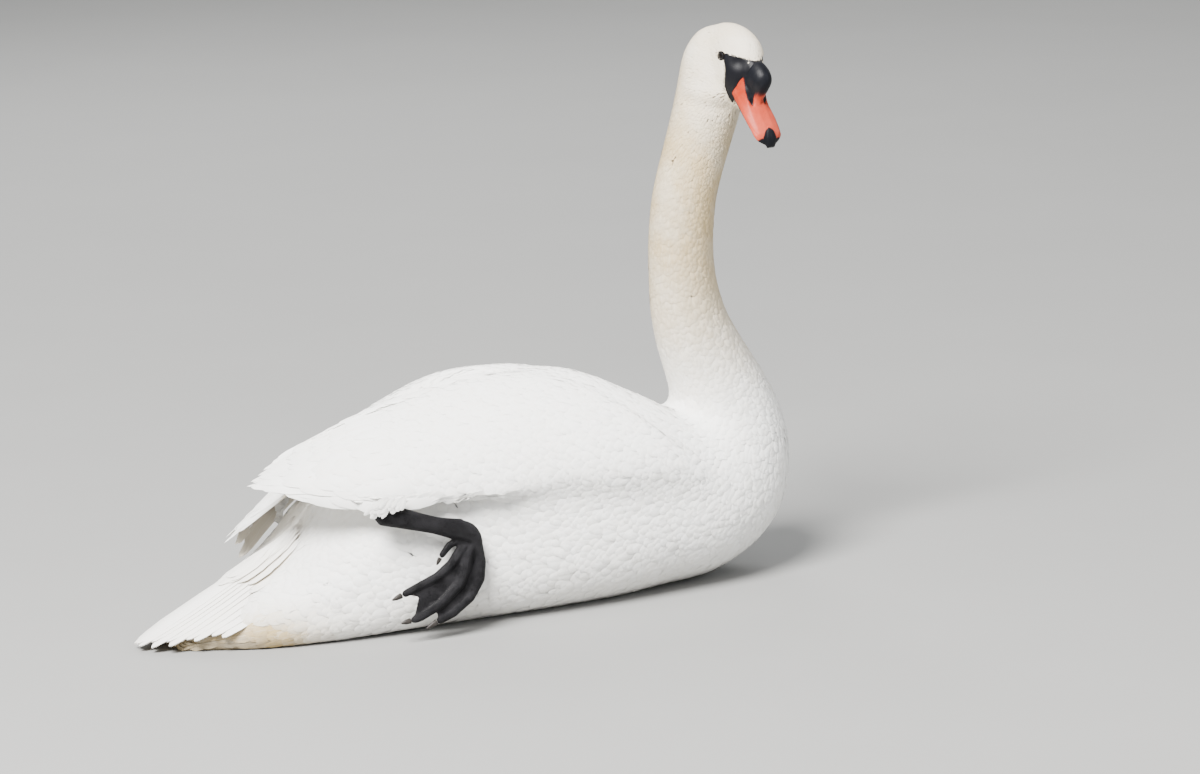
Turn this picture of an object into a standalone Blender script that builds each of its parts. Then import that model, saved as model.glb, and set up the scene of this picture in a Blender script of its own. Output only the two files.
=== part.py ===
"""Mute swan resting on its belly with its head up: solids for a life-size still model.

Metres, +Z up. The swan faces +X and its left side is +Y. Everything is laid out in the bird's own
frame, with z = 0 at the floor, and the last step moves it so that the box's bottom centre is the origin.
"""

import bmesh
import bpy
import numpy as np
from mathutils import Matrix, Vector

# ---------------------------------------------------------------- driving dimensions
GAP = 0.0003                  # clearance between neighbouring solids
CORNER_ALLOWANCE = 1.15       # extra growth of a cutter, as a corner's normal is a blend of its faces'
FLOOR = 0.0
BELLY_PRESS = 0.008           # how far the belly's round is pressed flat by the floor

BODY_SIDES = 24               # points round one section of trunk and neck
BODY_STEPS = 2                # sections laid between two named stations
HEAD_SIDES = 16
HEAD_STEPS = 2
BILL_SIDES = 12
BILL_WAIST = 0.14             # the upper mandible is widest just above its cutting edge
SMALL_BILL_SIDES = 10
KNOB_SEGMENTS = 12
EYE_SEGMENTS = 10

WING_LENGTH_STEPS = 15
WING_HEIGHT_STEPS = 7
WING_SPAN_DEG = 84.0          # from the lower edge over the flank to the back
WING_DEPTH = 0.014            # folded wing with its coverts
WING_TIP_DEPTH = 0.003
WING_FRONT_LOW = 0.285        # bend of the wing, under the breast feathers
WING_FRONT_HIGH = 0.100       # where the two wings part over the shoulders
WING_CREASE_POWER = 1.6
WING_NOTCH = 0.006            # depth of the steps between feather tips at the rear edge
WING_SQUARENESS = 2.1         # 2 is an ellipse, more is squarer
WING_LEAST_RISE = 0.3         # share of its height that the inner face keeps
WING_HEM = 0.25               # how far the inner face is drawn up at the lower edge

TAIL_ROOT = -0.150
TAIL_TIP = -0.363
TAIL_HALF = 0.071
TAIL_STEP = 0.085             # how much shorter the outermost feather is than the middle one
TAIL_POWER = 1.8
TAIL_ROOF = 0.58              # fall of the fan's edge below its ridge
TAIL_ROOT_DEPTH = 0.0045
TAIL_TIP_DEPTH = 0.0020
TAIL_FEATHERS = 10            # on each side
TAIL_ROWS = 6
TAIL_NOTCH = 0.009
TAIL_CLEAR = 0.0016           # room left round the quills where the trunk is hollowed for them
TAIL_DROOP_POWER = 1.6        # how late the fan falls away from its ridge

HEAD_AT = (0.377, -0.020, 0.581)   # midway between the eyes
HEAD_YAW_DEG = -81.0               # turned to the bird's right
HEAD_PITCH_DEG = 16.0              # crown line, nose down
HEAD_ROLL_DEG = -2.0
BILL_PITCH_DEG = 29.0              # bill below the crown line
HEAD_SCALE = 0.97

EYE_RADIUS = 0.0060
EYE_SIDE = 0.0238                  # centre of each eyeball from the middle of the head
EYE_FORWARD = 0.0050
EYE_RISE = 0.0065
KNOB_AT = (0.0420, 0.0, 0.0150)
KNOB_RADII = (0.0185, 0.0128, 0.0175)
CHIN_AT = (0.0400, 0.0, -0.0300)   # feathered wedge under the lower mandible
CHIN_RADII = (0.0190, 0.0130, 0.0075)
CHIN_SEGMENTS = 10

LEG_SIDE = 0.140                   # folded foot beside the flank
LIMB_SIDES = 10
TARSUS_FLATNESS = 0.62             # shank's thickness over its depth
JOINT_FLATNESS = 0.72
TOE_SIDES = 6
TOE_FLATNESS = 0.85
CLAW_RADIUS = 0.0034
HIND_CLAW_RADIUS = 0.0026
WEB_DEPTH = 0.0018
WEB_SCALLOP = 0.16                 # how far the free edge of the web bows back between two toes
SOLE_LIFT = -0.0015                # planted foot, pressed down to the floor

JOINT_RADII = [0.0112, 0.0112, 0.0095, 0.0080]
TOE_RADII = dict(
    outer=[0.0072, 0.0064, 0.0058, 0.0056, 0.0052, 0.0046],
    middle=[0.0076, 0.0068, 0.0062, 0.0058, 0.0050, 0.0044],
    inner=[0.0066, 0.0058, 0.0054, 0.0048, 0.0042],
    hind=[0.0046, 0.0042, 0.0036],
)

WHITE = (0.93, 0.92, 0.89)
CREAM = (0.90, 0.86, 0.76)
ORANGE = (0.85, 0.25, 0.10)
BLACK = (0.025, 0.024, 0.026)
CHARCOAL = (0.060, 0.057, 0.062)
HORN = (0.28, 0.25, 0.23)
EYE_BROWN = (0.030, 0.018, 0.012)


# ---------------------------------------------------------------- scene and materials
def clear_scene():
    for obj in list(bpy.data.objects):
        bpy.data.objects.remove(obj, do_unlink=True)


def collection(name, hidden=False):
    made = bpy.data.collections.new(name)
    made.hide_render = hidden
    bpy.context.scene.collection.children.link(made)
    return made


def material(name, colour, roughness, metallic=0.0):
    made = bpy.data.materials.new(name)
    made.use_nodes = True
    shader = made.node_tree.nodes["Principled BSDF"]
    shader.inputs["Base Color"].default_value = (*colour, 1.0)
    shader.inputs["Roughness"].default_value = roughness
    shader.inputs["Metallic"].default_value = metallic
    return made


# ---------------------------------------------------------------- small mathematics
def hermite(t):
    """The four cubic weights of start value, start slope, end value and end slope at t from 0 to 1."""
    return (1 + 2 * t) * (1 - t) ** 2, t * (1 - t) ** 2, t * t * (3 - 2 * t), t * t * (t - 1)


def flow(knots, per_span):
    """A smooth run through the knots (rows of numbers), per_span steps from each to the next."""
    knots = np.asarray(knots, float)
    slopes = np.gradient(knots, axis=0)
    rows = []
    for i in range(len(knots) - 1):
        for t in np.arange(per_span) / per_span:
            a, b, c, d = hermite(t)
            rows.append(a * knots[i] + b * slopes[i] + c * knots[i + 1] + d * slopes[i + 1])
    rows.append(knots[-1])
    return np.array(rows)


def profile(x, **named):
    """Smooth value at x of a curve through named (x, value) points given in rising x."""
    points = np.array(list(named.values()), float)
    xs, values = points[:, 0], points[:, 1]
    slopes = np.gradient(values, xs)
    x = float(np.clip(x, xs[0], xs[-1]))
    i = int(np.clip(np.searchsorted(xs, x) - 1, 0, len(xs) - 2))
    width = xs[i + 1] - xs[i]
    a, b, c, d = hermite((x - xs[i]) / width)
    return a * values[i] + c * values[i + 1] + (b * slopes[i] + d * slopes[i + 1]) * width


def power(value, exponent):
    return np.sign(value) * np.abs(value) ** exponent


def unit(vector):
    return np.asarray(vector, float) / np.linalg.norm(vector)


# ---------------------------------------------------------------- mesh builders
def mesh_object(name, points, faces, group, finish):
    mesh = bpy.data.meshes.new(name)
    mesh.from_pydata([tuple(p) for p in points], [], [tuple(f) for f in faces])
    work = bmesh.new()
    work.from_mesh(mesh)
    bmesh.ops.recalc_face_normals(work, faces=work.faces)
    bmesh.ops.triangulate(work, faces=[f for f in work.faces if len(f.verts) > 4])
    work.to_mesh(mesh)
    work.free()
    mesh.materials.append(finish)
    obj = bpy.data.objects.new(name, mesh)
    group.objects.link(obj)
    return obj


def loft(name, rings, group, finish):
    """A closed solid through equal rings of points, with a flat or fanned cap at each end."""
    rings = np.asarray(rings, float)
    count, sides = rings.shape[:2]
    points = list(rings.reshape(-1, 3))
    faces = []
    for i in range(count - 1):
        for j in range(sides):
            k = (j + 1) % sides
            faces.append((i * sides + j, i * sides + k, (i + 1) * sides + k, (i + 1) * sides + j))
    for row in (0, count - 1):
        points.append(rings[row].mean(axis=0))
        centre = len(points) - 1
        for j in range(sides):
            faces.append((row * sides + j, row * sides + (j + 1) % sides, centre))
    return mesh_object(name, points, faces, group, finish)


def shell(name, outer, inner, group, finish):
    """A closed plate between two grids of points of the same shape."""
    rows, columns = outer.shape[:2]
    size = rows * columns
    points = list(outer.reshape(-1, 3)) + list(inner.reshape(-1, 3))
    faces = []
    for i in range(rows - 1):
        for j in range(columns - 1):
            a, b = i * columns + j, i * columns + j + 1
            c, d = b + columns, a + columns
            faces.append((a, b, c, d))
            faces.append((size + a, size + d, size + c, size + b))
    rim = list(range(columns))
    rim += [i * columns + columns - 1 for i in range(1, rows)]
    rim += [(rows - 1) * columns + j for j in range(columns - 2, -1, -1)]
    rim += [i * columns for i in range(rows - 2, 0, -1)]
    for a, b in zip(rim, rim[1:] + rim[:1]):
        faces.append((a, size + a, size + b, b))
    return mesh_object(name, points, faces, group, finish)


def tube_rings(path, radii, sides, flatten=1.0, side=(0.0, 1.0, 0.0)):
    """Rings across a path; flatten scales the radius along the side direction."""
    path = np.asarray(path, float)
    ways = np.gradient(path, axis=0)
    rings = []
    for centre, way, radius in zip(path, ways, radii):
        way = unit(way)
        across = unit(np.asarray(side, float) - np.dot(side, way) * way)
        rise = np.cross(way, across)
        angles = 2 * np.pi * np.arange(sides) / sides
        ring = centre + radius * (
            flatten * np.cos(angles)[:, None] * across + np.sin(angles)[:, None] * rise
        )
        rings.append(ring)
    return np.array(rings)


def hide(obj):
    """Keeps a helper out of the model."""
    obj.hide_render = True
    obj.display_type = "WIRE"
    return obj


def grown(obj, group, by=GAP):
    """A helper copy of a solid with its skin moved outwards by the clearance."""
    copy = obj.copy()
    copy.data = obj.data.copy()
    copy.name = "cutter_" + obj.name
    work = bmesh.new()
    work.from_mesh(copy.data)
    work.normal_update()
    for vert in work.verts:
        vert.co += vert.normal * by * CORNER_ALLOWANCE
    work.to_mesh(copy.data)
    work.free()
    group.objects.link(copy)
    return hide(copy)


def boolean(obj, tool, operation="DIFFERENCE"):
    change = obj.modifiers.new(operation.lower() + "_" + tool.name, "BOOLEAN")
    change.operation = operation
    change.solver = "EXACT"
    change.object = tool


# ---------------------------------------------------------------- trunk and neck
def station(back, belly, half, top=2.0, bottom=2.0, side=0.0):
    """One named section: its back and belly points in the middle plane, half-width and squareness."""
    return [back[0], back[1], belly[0], belly[1], half, top, bottom, side]


def trunk_stations():
    low = FLOOR - BELLY_PRESS
    return [
        station((-0.318, 0.010), (-0.322, -0.002), 0.030, 2.0, 3.0),
        station((-0.285, 0.032), (-0.287, -0.004), 0.052, 2.0, 3.4),
        station((-0.238, 0.060), (-0.240, low), 0.080, 2.0, 3.6),
        station((-0.190, 0.088), (-0.190, low), 0.097, 2.0, 3.6),
        station((-0.148, 0.126), (-0.148, low), 0.108, 2.1, 3.6),
        station((-0.100, 0.178), (-0.100, low), 0.117, 2.1, 3.6),
        station((-0.040, 0.222), (-0.040, low), 0.125, 2.2, 3.4),
        station((0.030, 0.247), (0.030, low), 0.130, 2.3, 3.2),
        station((0.100, 0.2568), (0.105, low), 0.133, 2.15, 3.0),
        station((0.170, 0.2490), (0.180, low), 0.130, 2.05, 2.7),
        station((0.228, 0.2228), (0.250, -0.004), 0.123, 2.1, 2.3),
    ]


def breast_stations():
    return [
        station((0.2625, 0.2045), (0.312, 0.001), 0.115, 2.0, 2.1),
        station((0.2805, 0.1940), (0.363, 0.021), 0.105, 2.0, 2.0),
        station((0.2930, 0.1885), (0.4015, 0.054), 0.095, 2.0, 2.0),
        station((0.2990, 0.1925), (0.4252, 0.104), 0.084, 2.0, 2.0),
        station((0.2965, 0.2080), (0.4262, 0.158), 0.0715, 2.0, 2.0),
    ]


def neck_stations():
    return [
        station((0.2890, 0.2320), (0.4089, 0.207), 0.0590, 2.0, 2.0),
        station((0.2792, 0.2640), (0.3846, 0.249), 0.0490, 2.0, 2.0),
        station((0.2735, 0.3000), (0.3600, 0.293), 0.0410, 2.0, 2.0),
        station((0.2725, 0.3400), (0.3472, 0.337), 0.0365, 2.0, 2.0),
        station((0.2738, 0.3850), (0.3458, 0.385), 0.0350, 2.0, 2.0),
        station((0.2806, 0.4320), (0.3532, 0.430), 0.0350, 2.0, 2.0, 0.001),
        station((0.2944, 0.4760), (0.3676, 0.470), 0.0350, 2.0, 2.0, 0.003),
        station((0.3092, 0.5180), (0.3835, 0.507), 0.0350, 2.0, 2.0, 0.006),
        station((0.3212, 0.5560), (0.3960, 0.539), 0.0345, 2.0, 2.0, 0.010),
        station((0.3308, 0.5875), (0.4020, 0.566), 0.0325, 2.0, 2.0, 0.013),
        station((0.3482, 0.6090), (0.4060, 0.590), 0.0270, 2.0, 2.0, 0.013),
        station((0.3660, 0.6150), (0.4000, 0.606), 0.0170, 2.0, 2.0, 0.012),
    ]


def body_rings():
    """Sections from the vent to the nape, fanned about the crook where the neck leaves the back."""
    stations = trunk_stations() + breast_stations() + neck_stations()
    rings = []
    angles = 2 * np.pi * (np.arange(BODY_SIDES) + 0.5) / BODY_SIDES
    for row in flow(stations, BODY_STEPS):
        back, belly = np.array([row[0], row[7], row[1]]), np.array([row[2], row[7], row[3]])
        square = np.where(np.sin(angles) > 0, row[5], row[6])
        across = row[4] * power(np.cos(angles), 2 / square)
        rise = power(np.sin(angles), 2 / square)
        ring = (back + belly) / 2 + rise[:, None] * (back - belly) / 2
        ring[:, 1] += across
        rings.append(ring)
    rings = np.array(rings)
    rings[..., 2] = np.maximum(rings[..., 2], FLOOR)
    return rings


def parted(rings, first, last):
    """The rings first to last with the end ones drawn in by half the clearance."""
    part = rings[first : last + 1].copy()
    for end, inward in ((0, 1), (-1, -2)):
        way = part[inward].mean(axis=0) - part[end].mean(axis=0)
        a, b, c = part[end][0], part[end][BODY_SIDES // 3], part[end][2 * BODY_SIDES // 3]
        normal = unit(np.cross(b - a, c - a))
        part[end] += normal * np.sign(np.dot(normal, way)) * GAP / 2
    part[..., 2] = np.maximum(part[..., 2], FLOOR)
    return part


def add_body(group, white, cream):
    rings = body_rings()
    trunk_end = (len(trunk_stations()) - 1) * BODY_STEPS
    breast_end = trunk_end + len(breast_stations()) * BODY_STEPS
    low_end = breast_end + 3 * BODY_STEPS
    middle_end = low_end + 3 * BODY_STEPS
    return {
        "trunk": loft("trunk", parted(rings, 0, trunk_end), group, white),
        "breast": loft("breast", parted(rings, trunk_end, breast_end), group, white),
        "neck_lower": loft("neck_lower", parted(rings, breast_end, low_end), group, white),
        "neck_middle": loft("neck_middle", parted(rings, low_end, middle_end), group, cream),
        "neck_upper": loft("neck_upper", parted(rings, middle_end, len(rings) - 1), group, cream),
    }


# ---------------------------------------------------------------- wings
def wing_top(x, side):
    shared = dict(
        crown=(0.025, 0.2598),
        mantle=(0.080, 0.2612),
        shoulder=(0.138, 0.2565),
        slope=(0.192, 0.2415),
        crook=(0.240, 0.2180),
        bend=(0.290, 0.1700),
    )
    if side < 0:
        rear = dict(
            tip=(-0.236, 0.1690),
            tips=(-0.216, 0.1760),
            over=(-0.176, 0.1985),
            loin=(-0.108, 0.2275),
            saddle=(-0.024, 0.2488),
        )
    else:
        rear = dict(
            tip=(-0.236, 0.1040),
            tips=(-0.207, 0.1260),
            over=(-0.176, 0.1460),
            loin=(-0.108, 0.1960),
            saddle=(-0.024, 0.2400),
        )
    return profile(x, **rear, **shared)


def wing_low(x, side):
    shared = dict(flank=(-0.015, 0.1480), fore=(0.100, 0.1450), bend=(0.290, 0.1300))
    if side < 0:
        rear = dict(tip=(-0.240, 0.1650), tips=(-0.207, 0.1620), rear=(-0.150, 0.1550), hock=(-0.090, 0.1530))
    else:
        rear = dict(tip=(-0.236, 0.0460), tips=(-0.190, 0.0600), rear=(-0.150, 0.0930), hock=(-0.090, 0.1330))
    return profile(x, **rear, **shared)


def wing_half(x, side):
    shared = dict(
        flank=(-0.015, 0.1430),
        fore=(0.100, 0.1470),
        chest=(0.200, 0.1400),
        bend=(0.290, 0.1180),
    )
    if side < 0:
        rear = dict(tip=(-0.240, 0.0340), tips=(-0.215, 0.0540), over=(-0.185, 0.0840), hock=(-0.110, 0.1300))
    else:
        rear = dict(tip=(-0.236, 0.0880), tips=(-0.212, 0.0980), over=(-0.180, 0.1100), hock=(-0.110, 0.1300))
    return profile(x, **rear, **shared)


def wing_front(v):
    return WING_FRONT_LOW + (WING_FRONT_HIGH - WING_FRONT_LOW) * v**WING_CREASE_POWER


def wing_rear(v, side):
    """Trailing outline, from the lower edge (v = 0) to the back (v = 1), with feather tips."""
    if side < 0:
        return profile(v, low=(0.0, -0.195), second=(0.35, -0.217), tip=(0.7, -0.228), high=(1.0, -0.203))
    return profile(v, low=(0.0, -0.193), outer=(0.5, -0.217), tip=(0.8, -0.233), high=(1.0, -0.226))


def wing_depth(x):
    """Thickness of the folded wing, thin at the feather tips and full over the shoulder."""
    return float(np.interp(x, [-0.22, -0.13, 0.0], [WING_TIP_DEPTH, 0.008, WING_DEPTH]))


def wing_grid(side, inset):
    grid = np.zeros((WING_LENGTH_STEPS + 1, WING_HEIGHT_STEPS + 1, 3))
    for i in range(WING_LENGTH_STEPS + 1):
        for j in range(WING_HEIGHT_STEPS + 1):
            u, v = i / WING_LENGTH_STEPS, j / WING_HEIGHT_STEPS
            notch = WING_NOTCH * (j % 2) * (i == WING_LENGTH_STEPS)
            x = wing_front(v) * (1 - u) + (wing_rear(v, side) + notch) * u
            depth = inset * wing_depth(x)
            angle = np.radians(WING_SPAN_DEG) * v
            low, top, half = wing_low(x, side), wing_top(x, side), wing_half(x, side)
            rise = max(top - low - depth, WING_LEAST_RISE * (top - low))
            y = (half - depth) * power(np.cos(angle), 2 / WING_SQUARENESS)
            z = low + rise * power(np.sin(angle), 2 / WING_SQUARENESS)
            if v == 0:
                z += WING_HEM * depth
            grid[i, j] = (x, side * y, z)
    return grid


def add_wing(name, side, group, white):
    return shell(name, wing_grid(side, 0.0), wing_grid(side, 1.0), group, white)


# ---------------------------------------------------------------- tail
def tail_ridge(x):
    return profile(
        x,
        tip=(-0.363, 0.0035),
        fan=(-0.316, 0.0285),
        middle=(-0.263, 0.0550),
        root=(-0.233, 0.0710),
        coverts=(-0.191, 0.0960),
        rump=(-0.148, 0.1280),
    )


def tail_grid(inset):
    columns = 2 * TAIL_FEATHERS
    grid = np.zeros((TAIL_ROWS + 1, columns + 1, 3))
    for i in range(TAIL_ROWS + 1):
        for j in range(columns + 1):
            u, v = i / TAIL_ROWS, 2 * j / columns - 1
            notch = TAIL_NOTCH * (1 - j % 2) * (abs(v) > 0)
            reach = TAIL_TIP + TAIL_STEP * abs(v) ** TAIL_POWER + notch
            x = TAIL_ROOT * (1 - u) + reach * u
            edge = min(1.0, (max(x - TAIL_TIP, 0.004) / TAIL_STEP) ** (1 / TAIL_POWER))
            fall = TAIL_ROOF * min(1.0, abs(v) / edge) ** TAIL_DROOP_POWER
            depth = inset * (TAIL_ROOT_DEPTH * (1 - u) + TAIL_TIP_DEPTH * u)
            z = max(tail_ridge(x) * (1 - fall), FLOOR + TAIL_TIP_DEPTH) - depth
            grid[i, j] = (x, v * TAIL_HALF, max(z, FLOOR))
    return grid


# ---------------------------------------------------------------- head and bill
def turned(pitch_deg):
    """World placing of a frame at the head: x along it, y to the bird's left, z up."""
    yaw = Matrix.Rotation(np.radians(HEAD_YAW_DEG), 4, "Z")
    pitch = Matrix.Rotation(np.radians(pitch_deg), 4, "Y")
    roll = Matrix.Rotation(np.radians(HEAD_ROLL_DEG), 4, "X")
    return Matrix.Translation(HEAD_AT) @ yaw @ pitch @ roll @ Matrix.Scale(HEAD_SCALE, 4)


def place(points, frame):
    points = np.asarray(points, float)
    matrix = np.array(frame)
    return points @ matrix[:3, :3].T + matrix[:3, 3]


def section_rings(stations, sides, steps, frame, waist=0.5):
    """Sections in a frame; waist is how high each is widest, from its belly (0) to its back (1)."""
    angles = 2 * np.pi * (np.arange(sides) + 0.5) / sides
    rings = []
    for row in flow(stations, steps):
        back, belly = np.array([row[0], 0, row[1]]), np.array([row[2], 0, row[3]])
        upper = np.sin(angles) > 0
        square = np.where(upper, row[5], row[6])
        reach = power(np.sin(angles), 2 / square) * np.where(upper, 1 - waist, waist)
        ring = belly + (waist + reach)[:, None] * (back - belly)
        ring[:, 1] += row[4] * power(np.cos(angles), 2 / square)
        rings.append(place(ring, frame))
    return np.array(rings)


def add_head(group, cream):
    stations = [
        station((-0.0530, 0.006), (-0.0530, -0.010), 0.0070),
        station((-0.0480, 0.020), (-0.0490, -0.028), 0.0190),
        station((-0.0350, 0.0300), (-0.0380, -0.040), 0.0265),
        station((-0.0160, 0.0355), (-0.0210, -0.0460), 0.0290, 2.0, 2.1),
        station((0.0020, 0.0360), (-0.0040, -0.0480), 0.0290, 2.0, 2.2),
        station((0.0195, 0.0310), (0.0110, -0.0480), 0.0265, 2.0, 2.2),
        station((0.0295, 0.0215), (0.0210, -0.0465), 0.0225, 2.0, 2.2),
        station((0.0370, 0.0110), (0.0280, -0.0430), 0.0175, 2.0, 2.3),
    ]
    rings = section_rings(stations, HEAD_SIDES, HEAD_STEPS, turned(HEAD_PITCH_DEG))
    return loft("head", rings, group, cream)


def bill_frame():
    return turned(HEAD_PITCH_DEG + BILL_PITCH_DEG)


def add_bill_upper(group, orange):
    stations = [
        station((0.0270, 0.0225), (0.0270, -0.0225), 0.0198, 2.0),
        station((0.0400, 0.0130), (0.0400, -0.0218), 0.0197, 2.0),
        station((0.0520, 0.0030), (0.0520, -0.0210), 0.0196, 2.0),
        station((0.0650, -0.0028), (0.0650, -0.0204), 0.0194, 2.0),
        station((0.0800, -0.0058), (0.0800, -0.0202), 0.0192, 2.1),
        station((0.0930, -0.0082), (0.0930, -0.0208), 0.0186, 2.1),
        station((0.1025, -0.0116), (0.1020, -0.0222), 0.0162, 2.1),
        station((0.1085, -0.0160), (0.1080, -0.0236), 0.0105, 2.0),
    ]
    rings = section_rings(stations, BILL_SIDES, 1, bill_frame(), BILL_WAIST)
    return loft("bill_upper", rings, group, orange)


def add_bill_lower(group, black):
    stations = [
        station((0.0270, -0.0195), (0.0270, -0.0250), 0.0150, 4.0, 2.2),
        station((0.0520, -0.0192), (0.0520, -0.0250), 0.0150, 4.0, 2.2),
        station((0.0800, -0.0200), (0.0800, -0.0256), 0.0150, 4.0, 2.2),
        station((0.0960, -0.0216), (0.0960, -0.0264), 0.0130, 4.0, 2.2),
        station((0.1050, -0.0232), (0.1040, -0.0264), 0.0080, 3.0, 2.2),
    ]
    return loft("bill_lower", section_rings(stations, SMALL_BILL_SIDES, 1, bill_frame()), group, black)


def add_bill_nail(group, black):
    stations = [
        station((0.0955, -0.0078), (0.0955, -0.0125), 0.0030),
        station((0.1005, -0.0092), (0.1005, -0.0165), 0.0058),
        station((0.1060, -0.0124), (0.1050, -0.0220), 0.0074),
        station((0.1105, -0.0166), (0.1085, -0.0256), 0.0070),
        station((0.1128, -0.0210), (0.1110, -0.0266), 0.0044),
    ]
    return loft("bill_nail", section_rings(stations, SMALL_BILL_SIDES, 1, bill_frame()), group, black)


def ball(name, radii, at, frame, segments, group, finish):
    work = bmesh.new()
    bmesh.ops.create_uvsphere(work, u_segments=segments, v_segments=segments // 2 + 2, radius=1.0)
    size = Matrix.Diagonal((*radii, 1.0))
    bmesh.ops.transform(work, matrix=frame @ Matrix.Translation(at) @ size, verts=work.verts)
    mesh = bpy.data.meshes.new(name)
    work.to_mesh(mesh)
    work.free()
    mesh.materials.append(finish)
    obj = bpy.data.objects.new(name, mesh)
    group.objects.link(obj)
    return obj


# ---------------------------------------------------------------- legs and feet
def limb(name, path, radii, sides, flatten, group, finish, side=(0.0, 1.0, 0.0),
         rounded=(True, True), steps=2):
    """A tapering limb; each end is rounded or cut square."""
    path = flow(np.asarray(path, float), steps)
    radii = flow(np.asarray(radii, float)[:, None], steps)[:, 0]
    start, end = unit(path[0] - path[1]), unit(path[-1] - path[-2])
    if rounded[0]:
        path = np.vstack([path[0] + start * radii[0] * 0.6, path])
        radii = np.concatenate([[radii[0] * 0.55], radii])
    if rounded[1]:
        path = np.vstack([path, path[-1] + end * radii[-1] * 0.6])
        radii = np.concatenate([radii, [radii[-1] * 0.55]])
    return loft(name, tube_rings(path, radii, sides, flatten, side), group, finish)


def web(name, one, other, group, finish, across, rows=5, columns=3):
    """The skin between two toes: a plate from one toe's path to the other's."""
    first, second = flow(one, 4), flow(other, 4)
    first = first[np.linspace(0, len(first) - 1, rows).round().astype(int)]
    second = second[np.linspace(0, len(second) - 1, rows).round().astype(int)]
    across = np.asarray(across, float)
    outer = np.zeros((rows, columns, 3))
    for j in range(columns):
        t = j / (columns - 1)
        bow = 4 * t * (1 - t)
        reach = (1 - WEB_SCALLOP * bow * np.linspace(0, 1, rows))[:, None]
        line = first * (1 - t) + second * t
        outer[:, j] = line[0] + (line - line[0]) * reach
    half = across * WEB_DEPTH / 2
    return shell(name, outer + half, outer - half, group, finish)


def add_claw(name, root, tip, radius, group, horn, side):
    root, tip = np.asarray(root, float), np.asarray(tip, float)
    path = [root, root * 0.5 + tip * 0.5, tip]
    rings = tube_rings(path, [radius, radius * 0.8, radius * 0.25], 6, 0.8, side)
    return loft(name, rings, group, horn)


def folded_foot(side):
    """Joint points of a foot hanging folded along the flank, with the toes curled back."""
    def at(x, z, out=0.0):
        return (x, side * (LEG_SIDE + out), z)

    return dict(
        tarsus=[
            at(-0.117, 0.147, -0.004),
            at(-0.090, 0.138, -0.001),
            at(-0.058, 0.1275),
            at(-0.030, 0.1190),
        ],
        tarsus_radii=[0.0130, 0.0110, 0.0095, 0.0125],
        joint=[
            at(-0.0295, 0.1188),
            at(-0.021, 0.1150),
            at(-0.0145, 0.1080),
            at(-0.0120, 0.0990),
        ],
        outer=[
            at(-0.011, 0.098),
            at(-0.0075, 0.080),
            at(-0.009, 0.062),
            at(-0.022, 0.043, 0.001),
            at(-0.043, 0.0285, 0.001),
            at(-0.058, 0.0225),
        ],
        outer_claw=(at(-0.0615, 0.0210), at(-0.074, 0.0150)),
        middle=[
            at(-0.018, 0.100),
            at(-0.0255, 0.080, 0.002),
            at(-0.034, 0.060, 0.002),
            at(-0.058, 0.040, 0.001),
            at(-0.080, 0.0290),
            at(-0.088, 0.0270),
        ],
        middle_claw=(at(-0.0915, 0.0265), at(-0.103, 0.0250)),
        inner=[
            at(-0.026, 0.101),
            at(-0.041, 0.082, -0.001),
            at(-0.058, 0.0700, -0.002),
            at(-0.078, 0.0625, -0.003),
            at(-0.096, 0.0560, -0.003),
        ],
        inner_claw=(at(-0.0995, 0.0550, -0.003), at(-0.111, 0.0510, -0.003)),
        hind=[at(-0.030, 0.108, -0.001), at(-0.0425, 0.103, -0.002), at(-0.0515, 0.093, -0.002)],
        hind_claw=(at(-0.0535, 0.0905, -0.002), at(-0.058, 0.0830, -0.002)),
        across=(0.0, -side, 0.0),
    )


def planted_foot(side):
    """Joint points of a foot set flat on the floor, with the shank laid back beside the flank."""
    def at(x, out, z):
        return (x, side * out, z + SOLE_LIFT)

    return dict(
        tarsus=[
            at(-0.085, 0.128, 0.040),
            at(-0.055, 0.130, 0.033),
            at(-0.015, 0.133, 0.021),
            at(0.014, 0.136, 0.0140),
        ],
        tarsus_radii=[0.0130, 0.0110, 0.0095, 0.0115],
        joint=[
            at(0.0145, 0.136, 0.0139),
            at(0.021, 0.1363, 0.0120),
            at(0.029, 0.1367, 0.0103),
            at(0.038, 0.137, 0.0090),
        ],
        outer=[
            at(0.030, 0.141, 0.0085),
            at(0.062, 0.158, 0.0075),
            at(0.096, 0.175, 0.0065),
            at(0.132, 0.189, 0.0055),
        ],
        outer_claw=(at(0.1358, 0.1905, 0.0058), at(0.149, 0.1945, 0.0035)),
        middle=[
            at(0.033, 0.137, 0.0085),
            at(0.072, 0.139, 0.0075),
            at(0.112, 0.140, 0.0065),
            at(0.150, 0.140, 0.0055),
        ],
        middle_claw=(at(0.1540, 0.140, 0.0058), at(0.168, 0.140, 0.0035)),
        inner=[
            at(0.030, 0.133, 0.0085),
            at(0.057, 0.124, 0.0075),
            at(0.085, 0.116, 0.0065),
            at(0.112, 0.111, 0.0055),
        ],
        inner_claw=(at(0.1160, 0.1104, 0.0058), at(0.128, 0.108, 0.0035)),
        hind=[at(0.022, 0.131, 0.0095), at(0.012, 0.1215, 0.0075), at(0.006, 0.1165, 0.0060)],
        hind_claw=(at(0.0032, 0.1142, 0.0055), at(-0.004, 0.1085, 0.0035)),
        across=(0.0, 0.0, 1.0),
    )


def add_shank(tag, points, group, skin):
    path, radii, side = points["tarsus"], points["tarsus_radii"], points["across"]
    ends = (True, False)
    return limb("tarsus_" + tag, path, radii, LIMB_SIDES, TARSUS_FLATNESS, group, skin, side, ends)


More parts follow.
